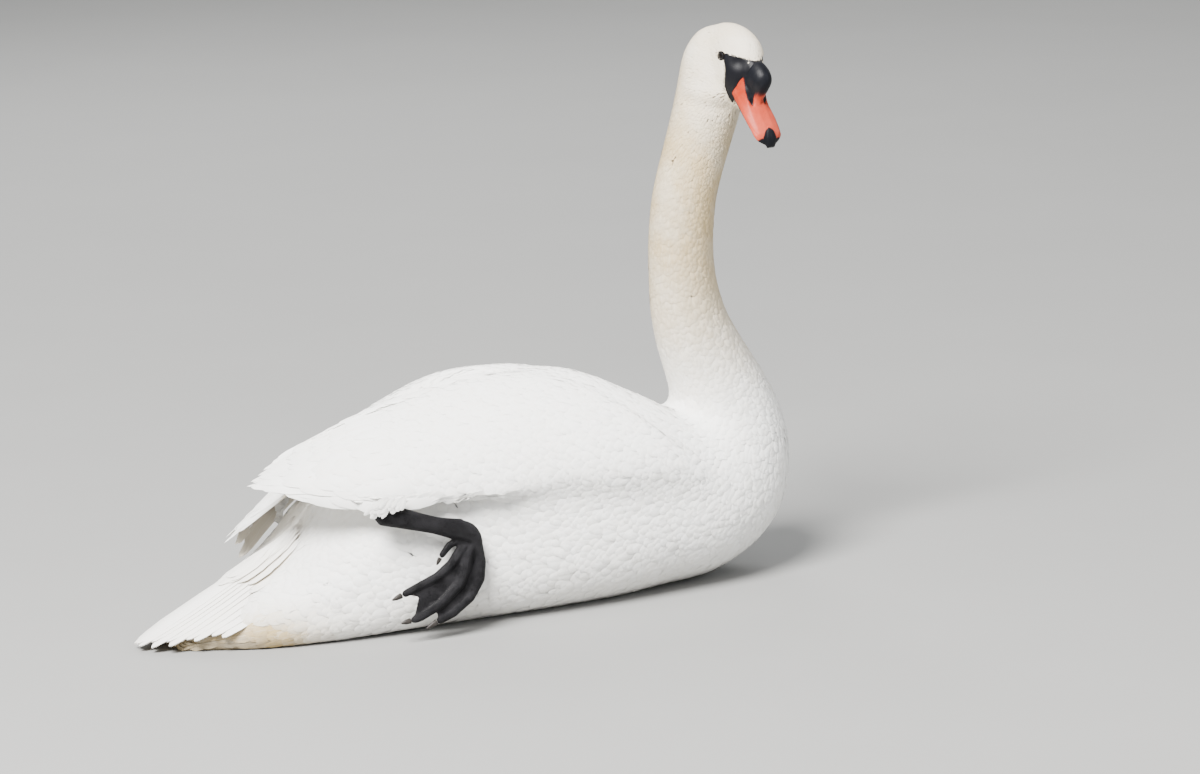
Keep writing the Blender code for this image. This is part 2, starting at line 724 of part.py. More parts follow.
def add_foot(tag, points, cutters, group, skin):
    """Foot joint, toes and webs, joined into one body."""
    side = points["across"]
    ends = (False, True)
    path = points["joint"]
    foot = limb("foot_" + tag, path, JOINT_RADII, LIMB_SIDES, JOINT_FLATNESS, group, skin, side, ends)
    for toe, radii in TOE_RADII.items():
        path = points[toe]
        widths = np.interp(np.linspace(0, 1, len(path)), np.linspace(0, 1, len(radii)), radii)
        part = limb(f"join_{toe}_{tag}", path, widths, TOE_SIDES, TOE_FLATNESS, cutters, skin, side, steps=1)
        boolean(foot, hide(part), "UNION")
    for one, other in (("outer", "middle"), ("middle", "inner")):
        part = web(f"join_web_{one}_{tag}", points[one], points[other], cutters, skin, side)
        boolean(foot, hide(part), "UNION")
    return foot


def add_leg(tag, points, cutters, group, skin, horn):
    tarsus = add_shank(tag, points, group, skin)
    foot = add_foot(tag, points, cutters, group, skin)
    boolean(foot, grown(tarsus, cutters))
    for toe in TOE_RADII:
        root, tip = points[toe + "_claw"]
        radius = HIND_CLAW_RADIUS if toe == "hind" else CLAW_RADIUS
        add_claw(f"claw_{tag}_{toe}", root, tip, radius, group, horn, points["across"])


# ---------------------------------------------------------------- assembly
def settle(group, cutters):
    """Moves everything so that the origin is the bottom centre of the whole."""
    bpy.context.view_layer.update()
    graph = bpy.context.evaluated_depsgraph_get()
    low, high = np.full(3, np.inf), np.full(3, -np.inf)
    for obj in group.objects:
        mesh = obj.evaluated_get(graph).to_mesh()
        points = np.array([obj.matrix_world @ v.co for v in mesh.vertices])
        low, high = np.minimum(low, points.min(axis=0)), np.maximum(high, points.max(axis=0))
    shift = Vector((-(low[0] + high[0]) / 2, -(low[1] + high[1]) / 2, -low[2]))
    for obj in list(group.objects) + list(cutters.objects):
        obj.data.transform(Matrix.Translation(shift))


def add_trunk_side(group, cutters, white, cream):
    """Trunk, breast and neck, with the tail fan let into the rump and a wing on each flank."""
    body = add_body(group, white, cream)
    tail = shell("tail", tail_grid(0.0), tail_grid(1.0), group, white)
    boolean(body["trunk"], grown(tail, cutters, TAIL_CLEAR))
    whole = hide(loft("cutter_body", body_rings(), cutters, white))
    body_cutter = grown(whole, cutters)
    for name, side in (("wing_right", -1), ("wing_left", 1)):
        boolean(add_wing(name, side, group, white), body_cutter)
    return body


def add_face(neck, group, cutters, cream, orange, black, eye):
    """Head, bill and eyes, each cut clear of the next."""
    head = add_head(group, cream)
    head_cutter = grown(head, cutters)
    boolean(neck, head_cutter)
    upper = add_bill_upper(group, orange)
    lower = add_bill_lower(group, black)
    nail = add_bill_nail(group, black)
    knob = ball("bill_knob", KNOB_RADII, KNOB_AT, bill_frame(), KNOB_SEGMENTS, group, black)
    nail_cutter = grown(nail, cutters)
    boolean(upper, grown(knob, cutters))
    boolean(upper, nail_cutter)
    boolean(lower, nail_cutter)
    boolean(lower, grown(upper, cutters))
    chin = hide(ball("chin", CHIN_RADII, CHIN_AT, bill_frame(), CHIN_SEGMENTS, cutters, cream))
    chin_cutter = grown(chin, cutters)
    boolean(head, chin, "UNION")
    boolean(neck, chin_cutter)
    for piece in (upper, lower, knob):
        boolean(piece, head_cutter)
        boolean(piece, chin_cutter)
    for name, side in (("eye_right", -1), ("eye_left", 1)):
        at = (EYE_FORWARD, side * EYE_SIDE, EYE_RISE)
        made = ball(name, [EYE_RADIUS] * 3, at, turned(HEAD_PITCH_DEG), EYE_SEGMENTS, group, eye)
        boolean(head, grown(made, cutters))


def main():
    clear_scene()
    group = collection("mute_swan")
    cutters = collection("cutters", hidden=True)
    white = material("white_plumage", WHITE, 0.85)
    cream = material("cream_plumage", CREAM, 0.85)
    orange = material("orange_bill", ORANGE, 0.45)
    black = material("black_horn", BLACK, 0.45)
    skin = material("foot_skin", CHARCOAL, 0.60)
    horn = material("claw_horn", HORN, 0.45)
    eye = material("eye", EYE_BROWN, 0.10)

    body = add_trunk_side(group, cutters, white, cream)
    add_face(body["neck_upper"], group, cutters, cream, orange, black, eye)
    add_leg("right", folded_foot(-1), cutters, group, skin, horn)
    add_leg("left", planted_foot(1), cutters, group, skin, horn)
    settle(group, cutters)


main()
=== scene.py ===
"""Looks of the mute swan: one skin, mesh feathers in tracts, bill, eyes, lids and claws."""
import itertools
import math

import bpy
import bmesh
import numpy as np
from mathutils import Matrix, Vector
from mathutils.bvhtree import BVHTree


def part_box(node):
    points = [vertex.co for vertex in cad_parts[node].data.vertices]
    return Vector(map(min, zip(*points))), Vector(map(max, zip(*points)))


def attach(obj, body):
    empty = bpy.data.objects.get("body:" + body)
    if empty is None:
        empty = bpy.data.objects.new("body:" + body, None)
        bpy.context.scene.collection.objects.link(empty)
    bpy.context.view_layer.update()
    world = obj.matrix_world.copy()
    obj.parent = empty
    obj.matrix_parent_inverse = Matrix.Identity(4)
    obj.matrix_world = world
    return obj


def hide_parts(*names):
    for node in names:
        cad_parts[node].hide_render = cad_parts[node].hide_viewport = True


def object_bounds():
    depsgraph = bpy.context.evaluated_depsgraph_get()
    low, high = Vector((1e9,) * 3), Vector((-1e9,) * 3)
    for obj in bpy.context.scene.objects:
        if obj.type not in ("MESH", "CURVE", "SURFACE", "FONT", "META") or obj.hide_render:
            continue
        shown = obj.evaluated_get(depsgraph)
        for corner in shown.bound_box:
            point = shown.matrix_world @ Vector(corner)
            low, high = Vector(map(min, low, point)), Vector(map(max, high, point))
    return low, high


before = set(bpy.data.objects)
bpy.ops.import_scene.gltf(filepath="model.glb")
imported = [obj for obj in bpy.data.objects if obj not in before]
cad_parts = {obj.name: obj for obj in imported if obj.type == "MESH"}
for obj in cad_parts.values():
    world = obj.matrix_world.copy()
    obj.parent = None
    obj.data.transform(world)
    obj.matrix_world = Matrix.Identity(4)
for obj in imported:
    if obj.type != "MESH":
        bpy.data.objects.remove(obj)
SIZE_BEFORE = [list(corner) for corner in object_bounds()]
RNG = np.random.default_rng(5120)

# ------------------------------------------------------------------ sizes, metres
FLESH = ("trunk", "breast", "neck_lower", "neck_middle", "neck_upper", "head")
WINGS = ("wing_right", "wing_left")
LIMBS = ("tarsus_right", "foot_right", "tarsus_left", "foot_left")
VOXEL, LIMB_VOXEL, JAW_VOXEL, CLAW_VOXEL = 0.0030, 0.0012, 0.0009, 0.0007
JOIN_GROWTH, LIMB_GROWTH = 0.0006, 0.0004   # closes the gaps between neighbouring solids
BODY_ROUNDS, NECK_FEWER, HEAD_FEWER = 34, 20, 5       # rounds of smoothing
WING_BLEND = 160              # rounds of smoothing that sink the wing's front edge in the breast
WING_BLEND_X, WING_BLEND_Z, WING_BLEND_REACH = (-0.020, 0.050), 0.125, 0.050
HEAD_SCALE = 0.97
NOSE_UP_DEG = 42.14           # crown line above the line from mid-eye to the nail
BILL_DROP_DEG = 29.0          # bill below the crown line
EYE_OFFSET = (0.0050, 0.0, 0.0065)
LID_REACH = 0.74              # radius of the lids' opening as a share of the eyeball's
SOCKET_FILL = 0.85            # share of the eyeball that fills its socket under the lids
SOCKET_SINK = 0.55            # how far the skin is drawn in behind the eyeball
SOCKET_EDGE, SOCKET_SIDE = 0.16, 0.015     # width of its rim as a share of the eyeball; least y, head frame

SADDLE, SADDLE_RADII = (0.0270, 0.0, 0.0150), (0.0150, 0.0125, 0.0117)
BROW, BROW_REACH, BROW_DROP = (0.0195, 0.0175, 0.0190), 0.0095, 0.0034
FILLET_REACH, FILLET_RISE = 0.0090, 0.0026            # where knob and forehead meet
JAW_Z, JAW_SLOPE, JAW_FOLD, JAW_WIDTH = -0.0520, -0.05, 0.0019, 0.0066   # fold under the cheek, head frame
CHEEK_SHARE, CHEEK_RISE, CHEEK_WIDTH = 0.55, 0.0125, 0.0075
BODY_COAT, NECK_COAT, HEAD_COAT = 0.0050, 0.0032, 0.0014
ROOT_SINK = 0.24              # a root's depth under the coat's face, as a share of the coat
WING_TRIM = dict(wing_right=0.045, wing_left=0.085)   # rear margin that feathers alone cover
PATCH = 0.003                 # side of one feather's patch on the bake map


# ------------------------------------------------------------------ small helpers
def unit(v):
    v = np.asarray(v, float)
    return v / np.maximum(np.linalg.norm(v, axis=-1, keepdims=True), 1e-12)


def smooth_step(x, low, high):
    t = np.clip((np.asarray(x, float) - low) / (high - low), 0.0, 1.0)
    return t * t * (3 - 2 * t)


def hump(x, at, width):
    """1 at the given place, falling away on both sides."""
    return np.exp(-((x - at) / width) ** 2)


def halved(quads):
    """Two triangles for each quad."""
    return np.concatenate([quads[:, [0, 1, 2]], quads[:, [0, 2, 3]]])


def joined(shells):
    """Points and triangles of several shells as one set."""
    points, faces, base = [], [], 0
    for co, tri in shells:
        points.append(co)
        faces.append(tri + base)
        base += len(co)
    return np.concatenate(points), np.concatenate(faces)


def band(rows, columns, closed=False):
    """Quads between rows of points, each row a ring; closed joins the last row to the first."""
    i, j = np.meshgrid(np.arange(rows if closed else rows - 1), np.arange(columns), indexing="ij")
    here, below = i * columns, (i + 1) % rows * columns
    k = (j + 1) % columns
    return np.stack([here + j, below + j, below + k, here + k], axis=2).reshape(-1, 4)


def round_ball(rings, around):
    """Points of a unit ball with its poles on x, and its triangles."""
    lat, lon = np.meshgrid(np.linspace(0, np.pi, rings + 1), np.arange(around) * 2 * np.pi / around,
                           indexing="ij")
    co = np.stack([np.cos(lat), np.sin(lat) * np.cos(lon), np.sin(lat) * np.sin(lon)], 2)
    return co.reshape(-1, 3), halved(band(rings + 1, around)[:, [0, 3, 2, 1]])


def on_floor(co, least=0.0):
    """Nothing lies lower than the floor."""
    co[:, 2] = np.maximum(co[:, 2], least)
    return co


def node_arrays(name):
    """Welded points and triangles of a CAD node."""
    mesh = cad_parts[name].data
    co = np.empty(len(mesh.vertices) * 3, np.float32)
    mesh.vertices.foreach_get("co", co)
    mesh.calc_loop_triangles()
    tri = np.empty(len(mesh.loop_triangles) * 3, np.int32)
    mesh.loop_triangles.foreach_get("vertices", tri)
    co, tri = co.reshape(-1, 3).astype(float), tri.reshape(-1, 3)
    _, first, back = np.unique(np.round(co, 6), axis=0, return_index=True, return_inverse=True)
    tri = back.reshape(-1)[tri]
    keep = (tri[:, 0] != tri[:, 1]) & (tri[:, 1] != tri[:, 2]) & (tri[:, 2] != tri[:, 0])
    return co[first], tri[keep]


def tree_of(co, faces):
    return BVHTree.FromPolygons(co.tolist(), faces.tolist())


def vertex_normals(co, faces):
    """Area-weighted normals; faces are triangles or quads."""
    if faces.shape[1] == 3:
        cross = np.cross(co[faces[:, 1]] - co[faces[:, 0]], co[faces[:, 2]] - co[faces[:, 0]])
    else:
        cross = np.cross(co[faces[:, 2]] - co[faces[:, 0]], co[faces[:, 3]] - co[faces[:, 1]])
    total = np.zeros_like(co)
    for k, axis in itertools.product(range(faces.shape[1]), range(3)):
        total[:, axis] += np.bincount(faces[:, k], cross[:, axis], len(co))
    return unit(total)


def mesh_object(name, co, faces, soft=None):
    """A mesh object from arrays, with shading directions where soft gives them.

    In a row of four, a corner repeated at the row's start or end stands for a triangle.
    """
    faces = np.asarray(faces, np.int32)
    keep = np.ones(faces.shape, bool)
    if faces.shape[1] == 4:
        keep[:, 0] = faces[:, 0] != faces[:, 1]
        keep[:, 3] = faces[:, 2] != faces[:, 3]
    total = keep.sum(1)
    mesh = bpy.data.meshes.new(name)
    mesh.vertices.add(len(co))
    mesh.vertices.foreach_set("co", np.asarray(co, np.float32).ravel())
    mesh.loops.add(int(total.sum()))
    mesh.loops.foreach_set("vertex_index", faces[keep])
    mesh.polygons.add(len(faces))
    mesh.polygons.foreach_set("loop_start", (np.cumsum(total) - total).astype(np.int32))
    mesh.update(calc_edges=True)
    mesh.shade_smooth()
    if soft is not None:
        normal = mesh.attributes.new("custom_normal", "FLOAT_VECTOR", "POINT")
        normal.data.foreach_set("vector", soft.astype(np.float32).ravel())
    obj = bpy.data.objects.new(name, mesh)
    bpy.context.scene.collection.objects.link(obj)
    return obj


def point_values(obj, **values):
    """Named numbers on the object's points, for its materials to read."""
    for key, data in values.items():
        made = obj.data.attributes.new(key, "FLOAT", "POINT")
        made.data.foreach_set("value", np.asarray(data, np.float32))


def settle(obj, slot, *materials, stands_for=()):
    """Gives a piece its materials and body, and hides the solids that it replaces."""
    for material in materials:
        obj.data.materials.append(material)
    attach(obj, "root")
    if stands_for:
        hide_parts(*stands_for)


def voxel_surface(co, tri, size):
    """Quads wrapping a set of closed shells, as one surface."""
    obj = mesh_object("voxel_work", co, tri)
    modifier = obj.modifiers.new("wrap", "REMESH")
    modifier.mode = "VOXEL"
    modifier.voxel_size = size
    graph = bpy.context.evaluated_depsgraph_get()
    made = obj.evaluated_get(graph).to_mesh()
    points = np.empty(len(made.vertices) * 3, np.float32)
    made.vertices.foreach_get("co", points)
    loops = np.empty(len(made.loops), np.int32)
    made.loops.foreach_get("vertex_index", loops)
    obj.evaluated_get(graph).to_mesh_clear()
    mesh = obj.data
    bpy.data.objects.remove(obj)
    bpy.data.meshes.remove(mesh)
    return points.reshape(-1, 3).astype(float), loops.reshape(-1, 4)


def edges_of(faces):
    """Each edge once, as two arrays of ends."""
    count = faces.shape[1]
    pairs = np.concatenate([faces[:, [k, (k + 1) % count]] for k in range(count)])
    pairs = np.unique(np.sort(pairs, axis=1), axis=0)
    return pairs[:, 0], pairs[:, 1]


def relax(co, faces, rounds, share=0.5):
    """Laplacian smoothing; rounds may be one number or one for each point."""
    a, b = edges_of(faces)
    degree = np.bincount(a, minlength=len(co)) + np.bincount(b, minlength=len(co))
    rounds = np.broadcast_to(rounds, len(co))
    co = co.copy()
    for k in range(int(rounds.max())):
        mean = np.stack([
            np.bincount(a, co[b, axis], len(co)) + np.bincount(b, co[a, axis], len(co))
            for axis in range(co.shape[1])
        ], axis=1) / np.maximum(degree, 1)[:, None]
        co += (mean - co) * (share * (rounds > k))[:, None]
    return co


def soft_edged(flags, faces):
    """Flags at points as shares from 0 to 1, blurred once along the edges."""
    return relax(flags.astype(float)[:, None], faces, 1)[:, 0]


def grown(co, tri, amount):
    return co + vertex_normals(co, tri) * amount


# ------------------------------------------------------------------ frames at the head
def middle(name):
    low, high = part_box(name)
    return np.array((low + high) / 2)


def eye_radius(tag):
    low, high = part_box("eye_" + tag)
    return (high - low).x / 2


def turn(vector, axis, degrees):
    return np.array(Matrix.Rotation(math.radians(degrees), 3, Vector(axis)) @ Vector(vector))


def axes_from(forward):
    return np.stack([forward, LEFTWARD, np.cross(forward, LEFTWARD)])


EYES = dict(right=middle("eye_right"), left=middle("eye_left"))
LEFTWARD = unit(EYES["left"] - EYES["right"])
MID_EYE = (EYES["right"] + EYES["left"]) / 2
TO_NAIL = middle("bill_nail") - MID_EYE
HEAD_X = turn(unit(TO_NAIL - LEFTWARD * (TO_NAIL @ LEFTWARD)), LEFTWARD, -NOSE_UP_DEG)
HEAD_AXES = axes_from(HEAD_X)
BILL_AXES = axes_from(turn(HEAD_X, LEFTWARD, BILL_DROP_DEG))
HEAD_AT = MID_EYE - np.array(EYE_OFFSET) * HEAD_SCALE @ HEAD_AXES


def in_head(points):
    """Head coordinates in metres: x to the front, y to the bird's left, z up."""
    return (np.asarray(points, float) - HEAD_AT) @ HEAD_AXES.T / HEAD_SCALE


def in_bill(points):
    """Like head coordinates, with x along the bill."""
    return (np.asarray(points, float) - HEAD_AT) @ BILL_AXES.T / HEAD_SCALE


def from_bill(points):
    return np.asarray(points, float) * HEAD_SCALE @ BILL_AXES + HEAD_AT


# ------------------------------------------------------------------ the body's outer surface
HEAD_MIDDLE, HEAD_FADE = (0.0, 0, -0.005), (0.050, 0.085)      # where the head ends
NECK_Z, NECK_X = (0.19, 0.31), (0.215, 0.245)                  # where the neck rises from the body


def headness(co):
    """1 on the head, 0 on the body and most of the neck."""
    return 1 - smooth_step(np.linalg.norm(in_head(co) - HEAD_MIDDLE, axis=1), *HEAD_FADE)


def neckness(co):
    """0 on the body, 1 on the neck and head."""
    return smooth_step(co[:, 2], *NECK_Z) * smooth_step(co[:, 0], *NECK_X)


def outer_surface():
    """One smooth surface round trunk, neck, head and wings, the wings without their rear margin."""
    shells = []
    for name in FLESH + ("eye_right", "eye_left") + WINGS:
        co, tri = node_arrays(name)
        if name in WINGS:
            co[:, 0] = np.maximum(co[:, 0], co[:, 0].min() + WING_TRIM[name])
        if name.startswith("eye"):
            co = co.mean(0) + (co - co.mean(0)) * SOCKET_FILL
        shells.append((grown(co, tri, JOIN_GROWTH), tri))
    co, quads = voxel_surface(*joined(shells + [saddle()]), VOXEL)
    rounds = BODY_ROUNDS - NECK_FEWER * neckness(co) - HEAD_FEWER * headness(co)
    front = smooth_step(co[:, 0], *WING_BLEND_X) * (1 - neckness(co))
    rounds = rounds + WING_BLEND * front * hump(co[:, 2], WING_BLEND_Z, WING_BLEND_REACH)
    co = relax(co, quads, np.round(rounds))
    return on_floor(crease_jaw(co, quads)), quads


def saddle():
    """Rounded filling between the knob and the forehead."""
    ball, tri = round_ball(16, 24)
    return from_bill(np.array(SADDLE) + ball * np.array(SADDLE_RADII)), tri


def crease_jaw(co, quads):
    """The cheek stands out over the throat, with a soft fold under it."""
    head = in_head(co)
    near = np.linalg.norm(head, axis=1) < 0.085
    above = head[:, 2] - (JAW_Z + JAW_SLOPE * head[:, 0])
    reach = smooth_step(head[:, 0], -0.026, -0.006) * near * (1 - smooth_step(head[:, 0], 0.036, 0.050))
    groove = -JAW_FOLD * hump(above, 0, JAW_WIDTH)
    cheek = JAW_FOLD * CHEEK_SHARE * hump(above, CHEEK_RISE, CHEEK_WIDTH)
    return co + vertex_normals(co, quads) * ((groove + cheek) * reach)[:, None]


def largest_part(co, faces):
    """Drops loose pockets, keeping the connected part with the most points."""
    a, b = edges_of(faces)
    label = np.arange(len(co))
    while True:
        low = np.minimum(label[a], label[b])
        new = label.copy()
        np.minimum.at(new, a, low)
        np.minimum.at(new, b, low)
        new = new[new]
        if (new == label).all():
            break
        label = new
    keep = label == np.bincount(label).argmax()
    index = np.cumsum(keep) - 1
    return co[keep], index[faces[keep[faces[:, 0]]]]


# ------------------------------------------------------------------ the lie of the feathers
LIE_ROUNDS, LIE_ENOUGH = 1500, 1e-11
BILL_FOOT_X, BILL_FOOT_Z = 0.025, -0.030   # feathers start round the bill, bill coordinates
END_STRIP, WING_END_Z = 0.012, 0.105       # and end in a strip at the rear of tail and wings
LEVELS = 70                   # places along the centre line
TRIES = 4.5                   # random places for each square of the wanted spacing


def harmonic(co, faces, fixed, value, start):
    """Smooth field over the surface with the given values at the fixed points."""
    a, b = edges_of(faces)
    n = len(co)
    weight = 1 / np.maximum(np.linalg.norm(co[a] - co[b], axis=1), VOXEL / 4)
    free = ~fixed
    diagonal = np.bincount(a, weight, n) + np.bincount(b, weight, n)

    def apply(x):
        return diagonal * x - np.bincount(a, weight * x[b], n) - np.bincount(b, weight * x[a], n)

    x = np.where(fixed, value, start)
    r = -apply(x) * free
    z = r / diagonal
    p, rz = z.copy(), (r * z).sum()
    first = rz
    for _ in range(LIE_ROUNDS):
        ap = apply(p) * free
        step = rz / (p * ap).sum()
        x += step * p
        r -= step * ap
        z = r / diagonal
        new = (r * z).sum()
        if new < first * LIE_ENOUGH:
            break
        p = z + new / rz * p
        rz = new
    return x


def flow_field(co, quads, phi):
    """Unit direction of the field's rise at each point, along the surface."""
    tri = halved(quads)
    a, b, c = co[tri[:, 0]], co[tri[:, 1]], co[tri[:, 2]]
    cross = np.cross(b - a, c - a)
    size = np.maximum((cross**2).sum(1), 1e-18)
    one = np.cross(cross, a - c) * (phi[tri[:, 1]] - phi[tri[:, 0]])[:, None]
    two = np.cross(cross, b - a) * (phi[tri[:, 2]] - phi[tri[:, 0]])[:, None]
    slope = (one + two) / size[:, None] * np.sqrt(size)[:, None]
    total = np.zeros_like(co)
    for k, axis in itertools.product(range(3), range(3)):
        total[:, axis] += np.bincount(tri[:, k], slope[:, axis], len(co))
    return unit(total)


def along_face(direction, normal):
    """The part of a direction that lies along the face, at unit length."""
    return unit(direction - normal * (direction * normal).sum(-1, keepdims=True))


class Body:
    """The outer surface with its normals, its lie and a map round it."""

    def __init__(self):
        self.co, self.quads = largest_part(*outer_surface())
        self.normals = vertex_normals(self.co, self.quads)
        self.find_lie()
        self.tree = tree_of(self.co, self.quads)
        self.find_map()

    def find_lie(self):
        """Feathers run from the bill to the tips of tail and wings."""
        co = self.co
        bill, head = in_bill(co), in_head(co)
        near = np.linalg.norm(head, axis=1) < 0.09
        source = near & (bill[:, 0] > BILL_FOOT_X) & (bill[:, 2] > BILL_FOOT_Z)
        tail_end = co[:, 0] < co[:, 0].min() + END_STRIP
        wing_rear = min(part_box(n)[0].x for n in WINGS) + WING_TRIM["wing_right"]
        wing_end = (co[:, 0] < wing_rear + END_STRIP) & (co[:, 2] > WING_END_Z)
        fixed = source | tail_end | wing_end
        value = np.where(source, 0.0, 1.0)
        start = np.clip(0.55 - co[:, 0] * 1.1, 0, 1) * (1 - neckness(co)) \
            + neckness(co) * np.clip((0.62 - co[:, 2]) * 0.8, 0, 0.3)
        self.phi = harmonic(co, self.quads, fixed, value, start)
        self.flow = flow_field(co, self.quads, self.phi)
        for _ in range(4):
            self.flow = unit(relax(self.flow, self.quads, 3))
        self.flow = along_face(self.flow, self.normals)

    def find_map(self):
        """Centre line from level sets of the lie, with a frame carried along it."""
        groups = np.array_split(np.argsort(self.phi), LEVELS)
        centre = np.array([self.co[g].mean(0) for g in groups])
        level = np.array([self.phi[g].mean() for g in groups])
        for _ in range(6):
            centre[1:-1] = (centre[:-2] + 2 * centre[1:-1] + centre[2:]) / 4
        step = np.linalg.norm(np.diff(centre, axis=0), axis=1)
        length = np.concatenate([[0], np.cumsum(step)])
        tangent = unit(np.gradient(centre, axis=0))
        side = [unit(np.cross(tangent[0], [0.0, 0.0, 1.0]))]
        for t in tangent[1:]:
            side.append(unit(side[-1] - t * (side[-1] @ t)))
        self.line = dict(centre=centre, level=level, v=length / length[-1], tangent=tangent,
                         side=np.array(side))

    def map_of(self, points, phi):
        """(u, v) of points on the unwrap: round the centre line and along it."""
        line = self.line

        def at(key):
            return np.stack([np.interp(phi, line["level"], line[key][:, k]) for k in range(3)], axis=1)

        t, s = unit(at("tangent")), unit(at("side"))
        up = np.cross(t, s)
        off = points - at("centre")
        angle = np.arctan2((off * s).sum(1), -(off * up).sum(1))
        return np.stack([angle / (2 * np.pi) + 0.5, np.interp(phi, line["level"], line["v"])], axis=1)

    def nearest(self, points):
        """Closest place on the surface: position, normal, lie and level there."""
        hits = [self.tree.find_nearest(p) for p in np.asarray(points, float).tolist()]
        place = np.array([tuple(h[0]) for h in hits])
        face = self.quads[np.array([h[2] for h in hits])]
        w = 1 / (((self.co[face] - place[:, None]) ** 2).sum(2) + (0.3 * VOXEL) ** 2)
        w /= w.sum(1, keepdims=True)
        normal = unit((self.normals[face] * w[..., None]).sum(1))
        flow = along_face((self.flow[face] * w[..., None]).sum(1), normal)
        return place, normal, flow, (self.phi[face] * w).sum(1)

    def scatter(self, radius, wanted):
        """Random places about one radius apart, on the quads that are wanted."""
        tri = halved(self.quads[wanted])
        a, b, c = self.co[tri[:, 0]], self.co[tri[:, 1]], self.co[tri[:, 2]]
        area = np.linalg.norm(np.cross(b - a, c - a), axis=1) / 2
        count = int(area.sum() / radius**2 * TRIES)
        pick = np.searchsorted(np.cumsum(area) / area.sum(), RNG.random(count))
        pick = np.minimum(pick, len(tri) - 1)
        s, t = RNG.random(count), RNG.random(count)
        over = s + t > 1
        s, t = np.where(over, 1 - s, s), np.where(over, 1 - t, t)
        points = a[pick] + (b - a)[pick] * s[:, None] + (c - a)[pick] * t[:, None]
        return thin(points, radius)


CELL_SHARE = 0.57             # side of a cell as a share of the radius: one point fits in it
CELL_ROW, CELL_MIDDLE = 8192, 4000


def thin(points, radius):
    """Keeps points at least a radius apart, in a few passes over a grid of cells."""
    kept, left = np.zeros((0, 3)), points
    for _ in range(4):
        if not len(left):
            break
        pool = np.concatenate([kept, left])
        rank = np.concatenate([-1 - np.arange(len(kept)), RNG.permutation(len(left))])
        cell = np.floor(pool / (radius * CELL_SHARE)).astype(np.int64) + CELL_MIDDLE
        key = (cell[:, 0] * CELL_ROW + cell[:, 1]) * CELL_ROW + cell[:, 2]
        order = np.lexsort((rank, key))
        first = order[np.concatenate([[True], np.diff(key[order]) > 0])]
        first = first[np.argsort(key[first])]
        keys = key[first]
        good = np.ones(len(first), bool)
        for i, j, k in itertools.product(range(-2, 3), repeat=3):
            if i == j == k == 0:
                continue
            other = keys + (i * CELL_ROW + j) * CELL_ROW + k
            at = np.minimum(np.searchsorted(keys, other), len(keys) - 1)
            rival = first[at]
            close = ((pool[rival] - pool[first]) ** 2).sum(1) < radius**2
            good &= ~((keys[at] == other) & close & (rank[rival] < rank[first]))
        new = first[good & (first >= len(kept))]
        rest = np.arange(len(pool)) >= len(kept)
        rest[new] = False
        kept = np.concatenate([kept, pool[new]])
        if not len(new):
            break
        left = pool[rest]
        left = left[RNG.random(len(left)) < 0.5]
    return kept


# ------------------------------------------------------------------ vanes
TILT = 0.30                   # how far a vane's shading turns away at its two edges
NOD, TIP_NOD = 0.45, 1.5      # and at its tip
AGREE_LOW, AGREE_HIGH = 0.55, 0.88    # shading follows the real face below the first of these
LEAST_HEIGHT = 0.0002         # of any vane over the floor
KEEP_HEADING = 0.35           # share of its own heading that a vane keeps at each step
SHARP_TURN = 0.2              # beyond this turn of the lie a vane runs straight on

# Width along a vane from root to tip, as shares of its half width, for each kind of feather.
SHAPES = dict(
    small=([0.0, 0.50, 0.84, 1.0], [0.0, 1.0, 0.62, 0.0]),
    body=([0.0, 0.34, 0.66, 0.86, 0.965, 1.0], [0.0, 0.85, 1.0, 0.84, 0.46, 0.0]),
    covert=([0.0, 0.25, 0.50, 0.72, 0.88, 0.97, 1.0], [0.0, 0.75, 1.0, 1.0, 0.80, 0.40, 0.0]),
    quill=([0.0, 0.10, 0.25, 0.42, 0.58, 0.72, 0.84, 0.93, 0.98, 1.0],
           [0.0, 0.45, 0.80, 0.95, 1.0, 0.95, 0.82, 0.58, 0.30, 0.0]),
)


def stops_of(shape):
    return np.array(SHAPES[shape][0])


def sound(run, least_onward=0.25, least_upright=0.70):
    """True for vanes that neither fold back nor flip over."""
    spine, up = run["spine"], run["up"]
    step = unit(spine[:, 1:] - spine[:, :-1])
    onward = (step * run["ahead"][:, :-1]).sum(2).min(1) > least_onward
    return onward & ((up[:, 1:] * up[:, :-1]).sum(2).min(1) > least_upright)


def leaning(soft, co, m):
    """Shading directions, turned to a vane's real face where the two would disagree."""
    n = len(co)
    inner = co[:, 1:-1].reshape(n, m, 3, 3)
    ends = [np.repeat(end[:, None, None], 3, 2) for end in (co[:, 0], co[:, -1])]
    run = np.concatenate([ends[0], inner, ends[1]], axis=1)
    along = run[:, 2:] - run[:, :-2]
    across = np.stack([inner[:, :, 1] - inner[:, :, 0], inner[:, :, 2] - inner[:, :, 0],
                       inner[:, :, 2] - inner[:, :, 1]], axis=2)
    face = unit(np.cross(along, across)).reshape(n, 3 * m, 3)
    face = np.concatenate([face[:, 1:2], face, face[:, -2:-1]], axis=1)
    agree = (face * soft).sum(2, keepdims=True)
    share = 1 - smooth_step(agree, AGREE_LOW, AGREE_HIGH)
    return unit(soft * (1 - share) + face * share)


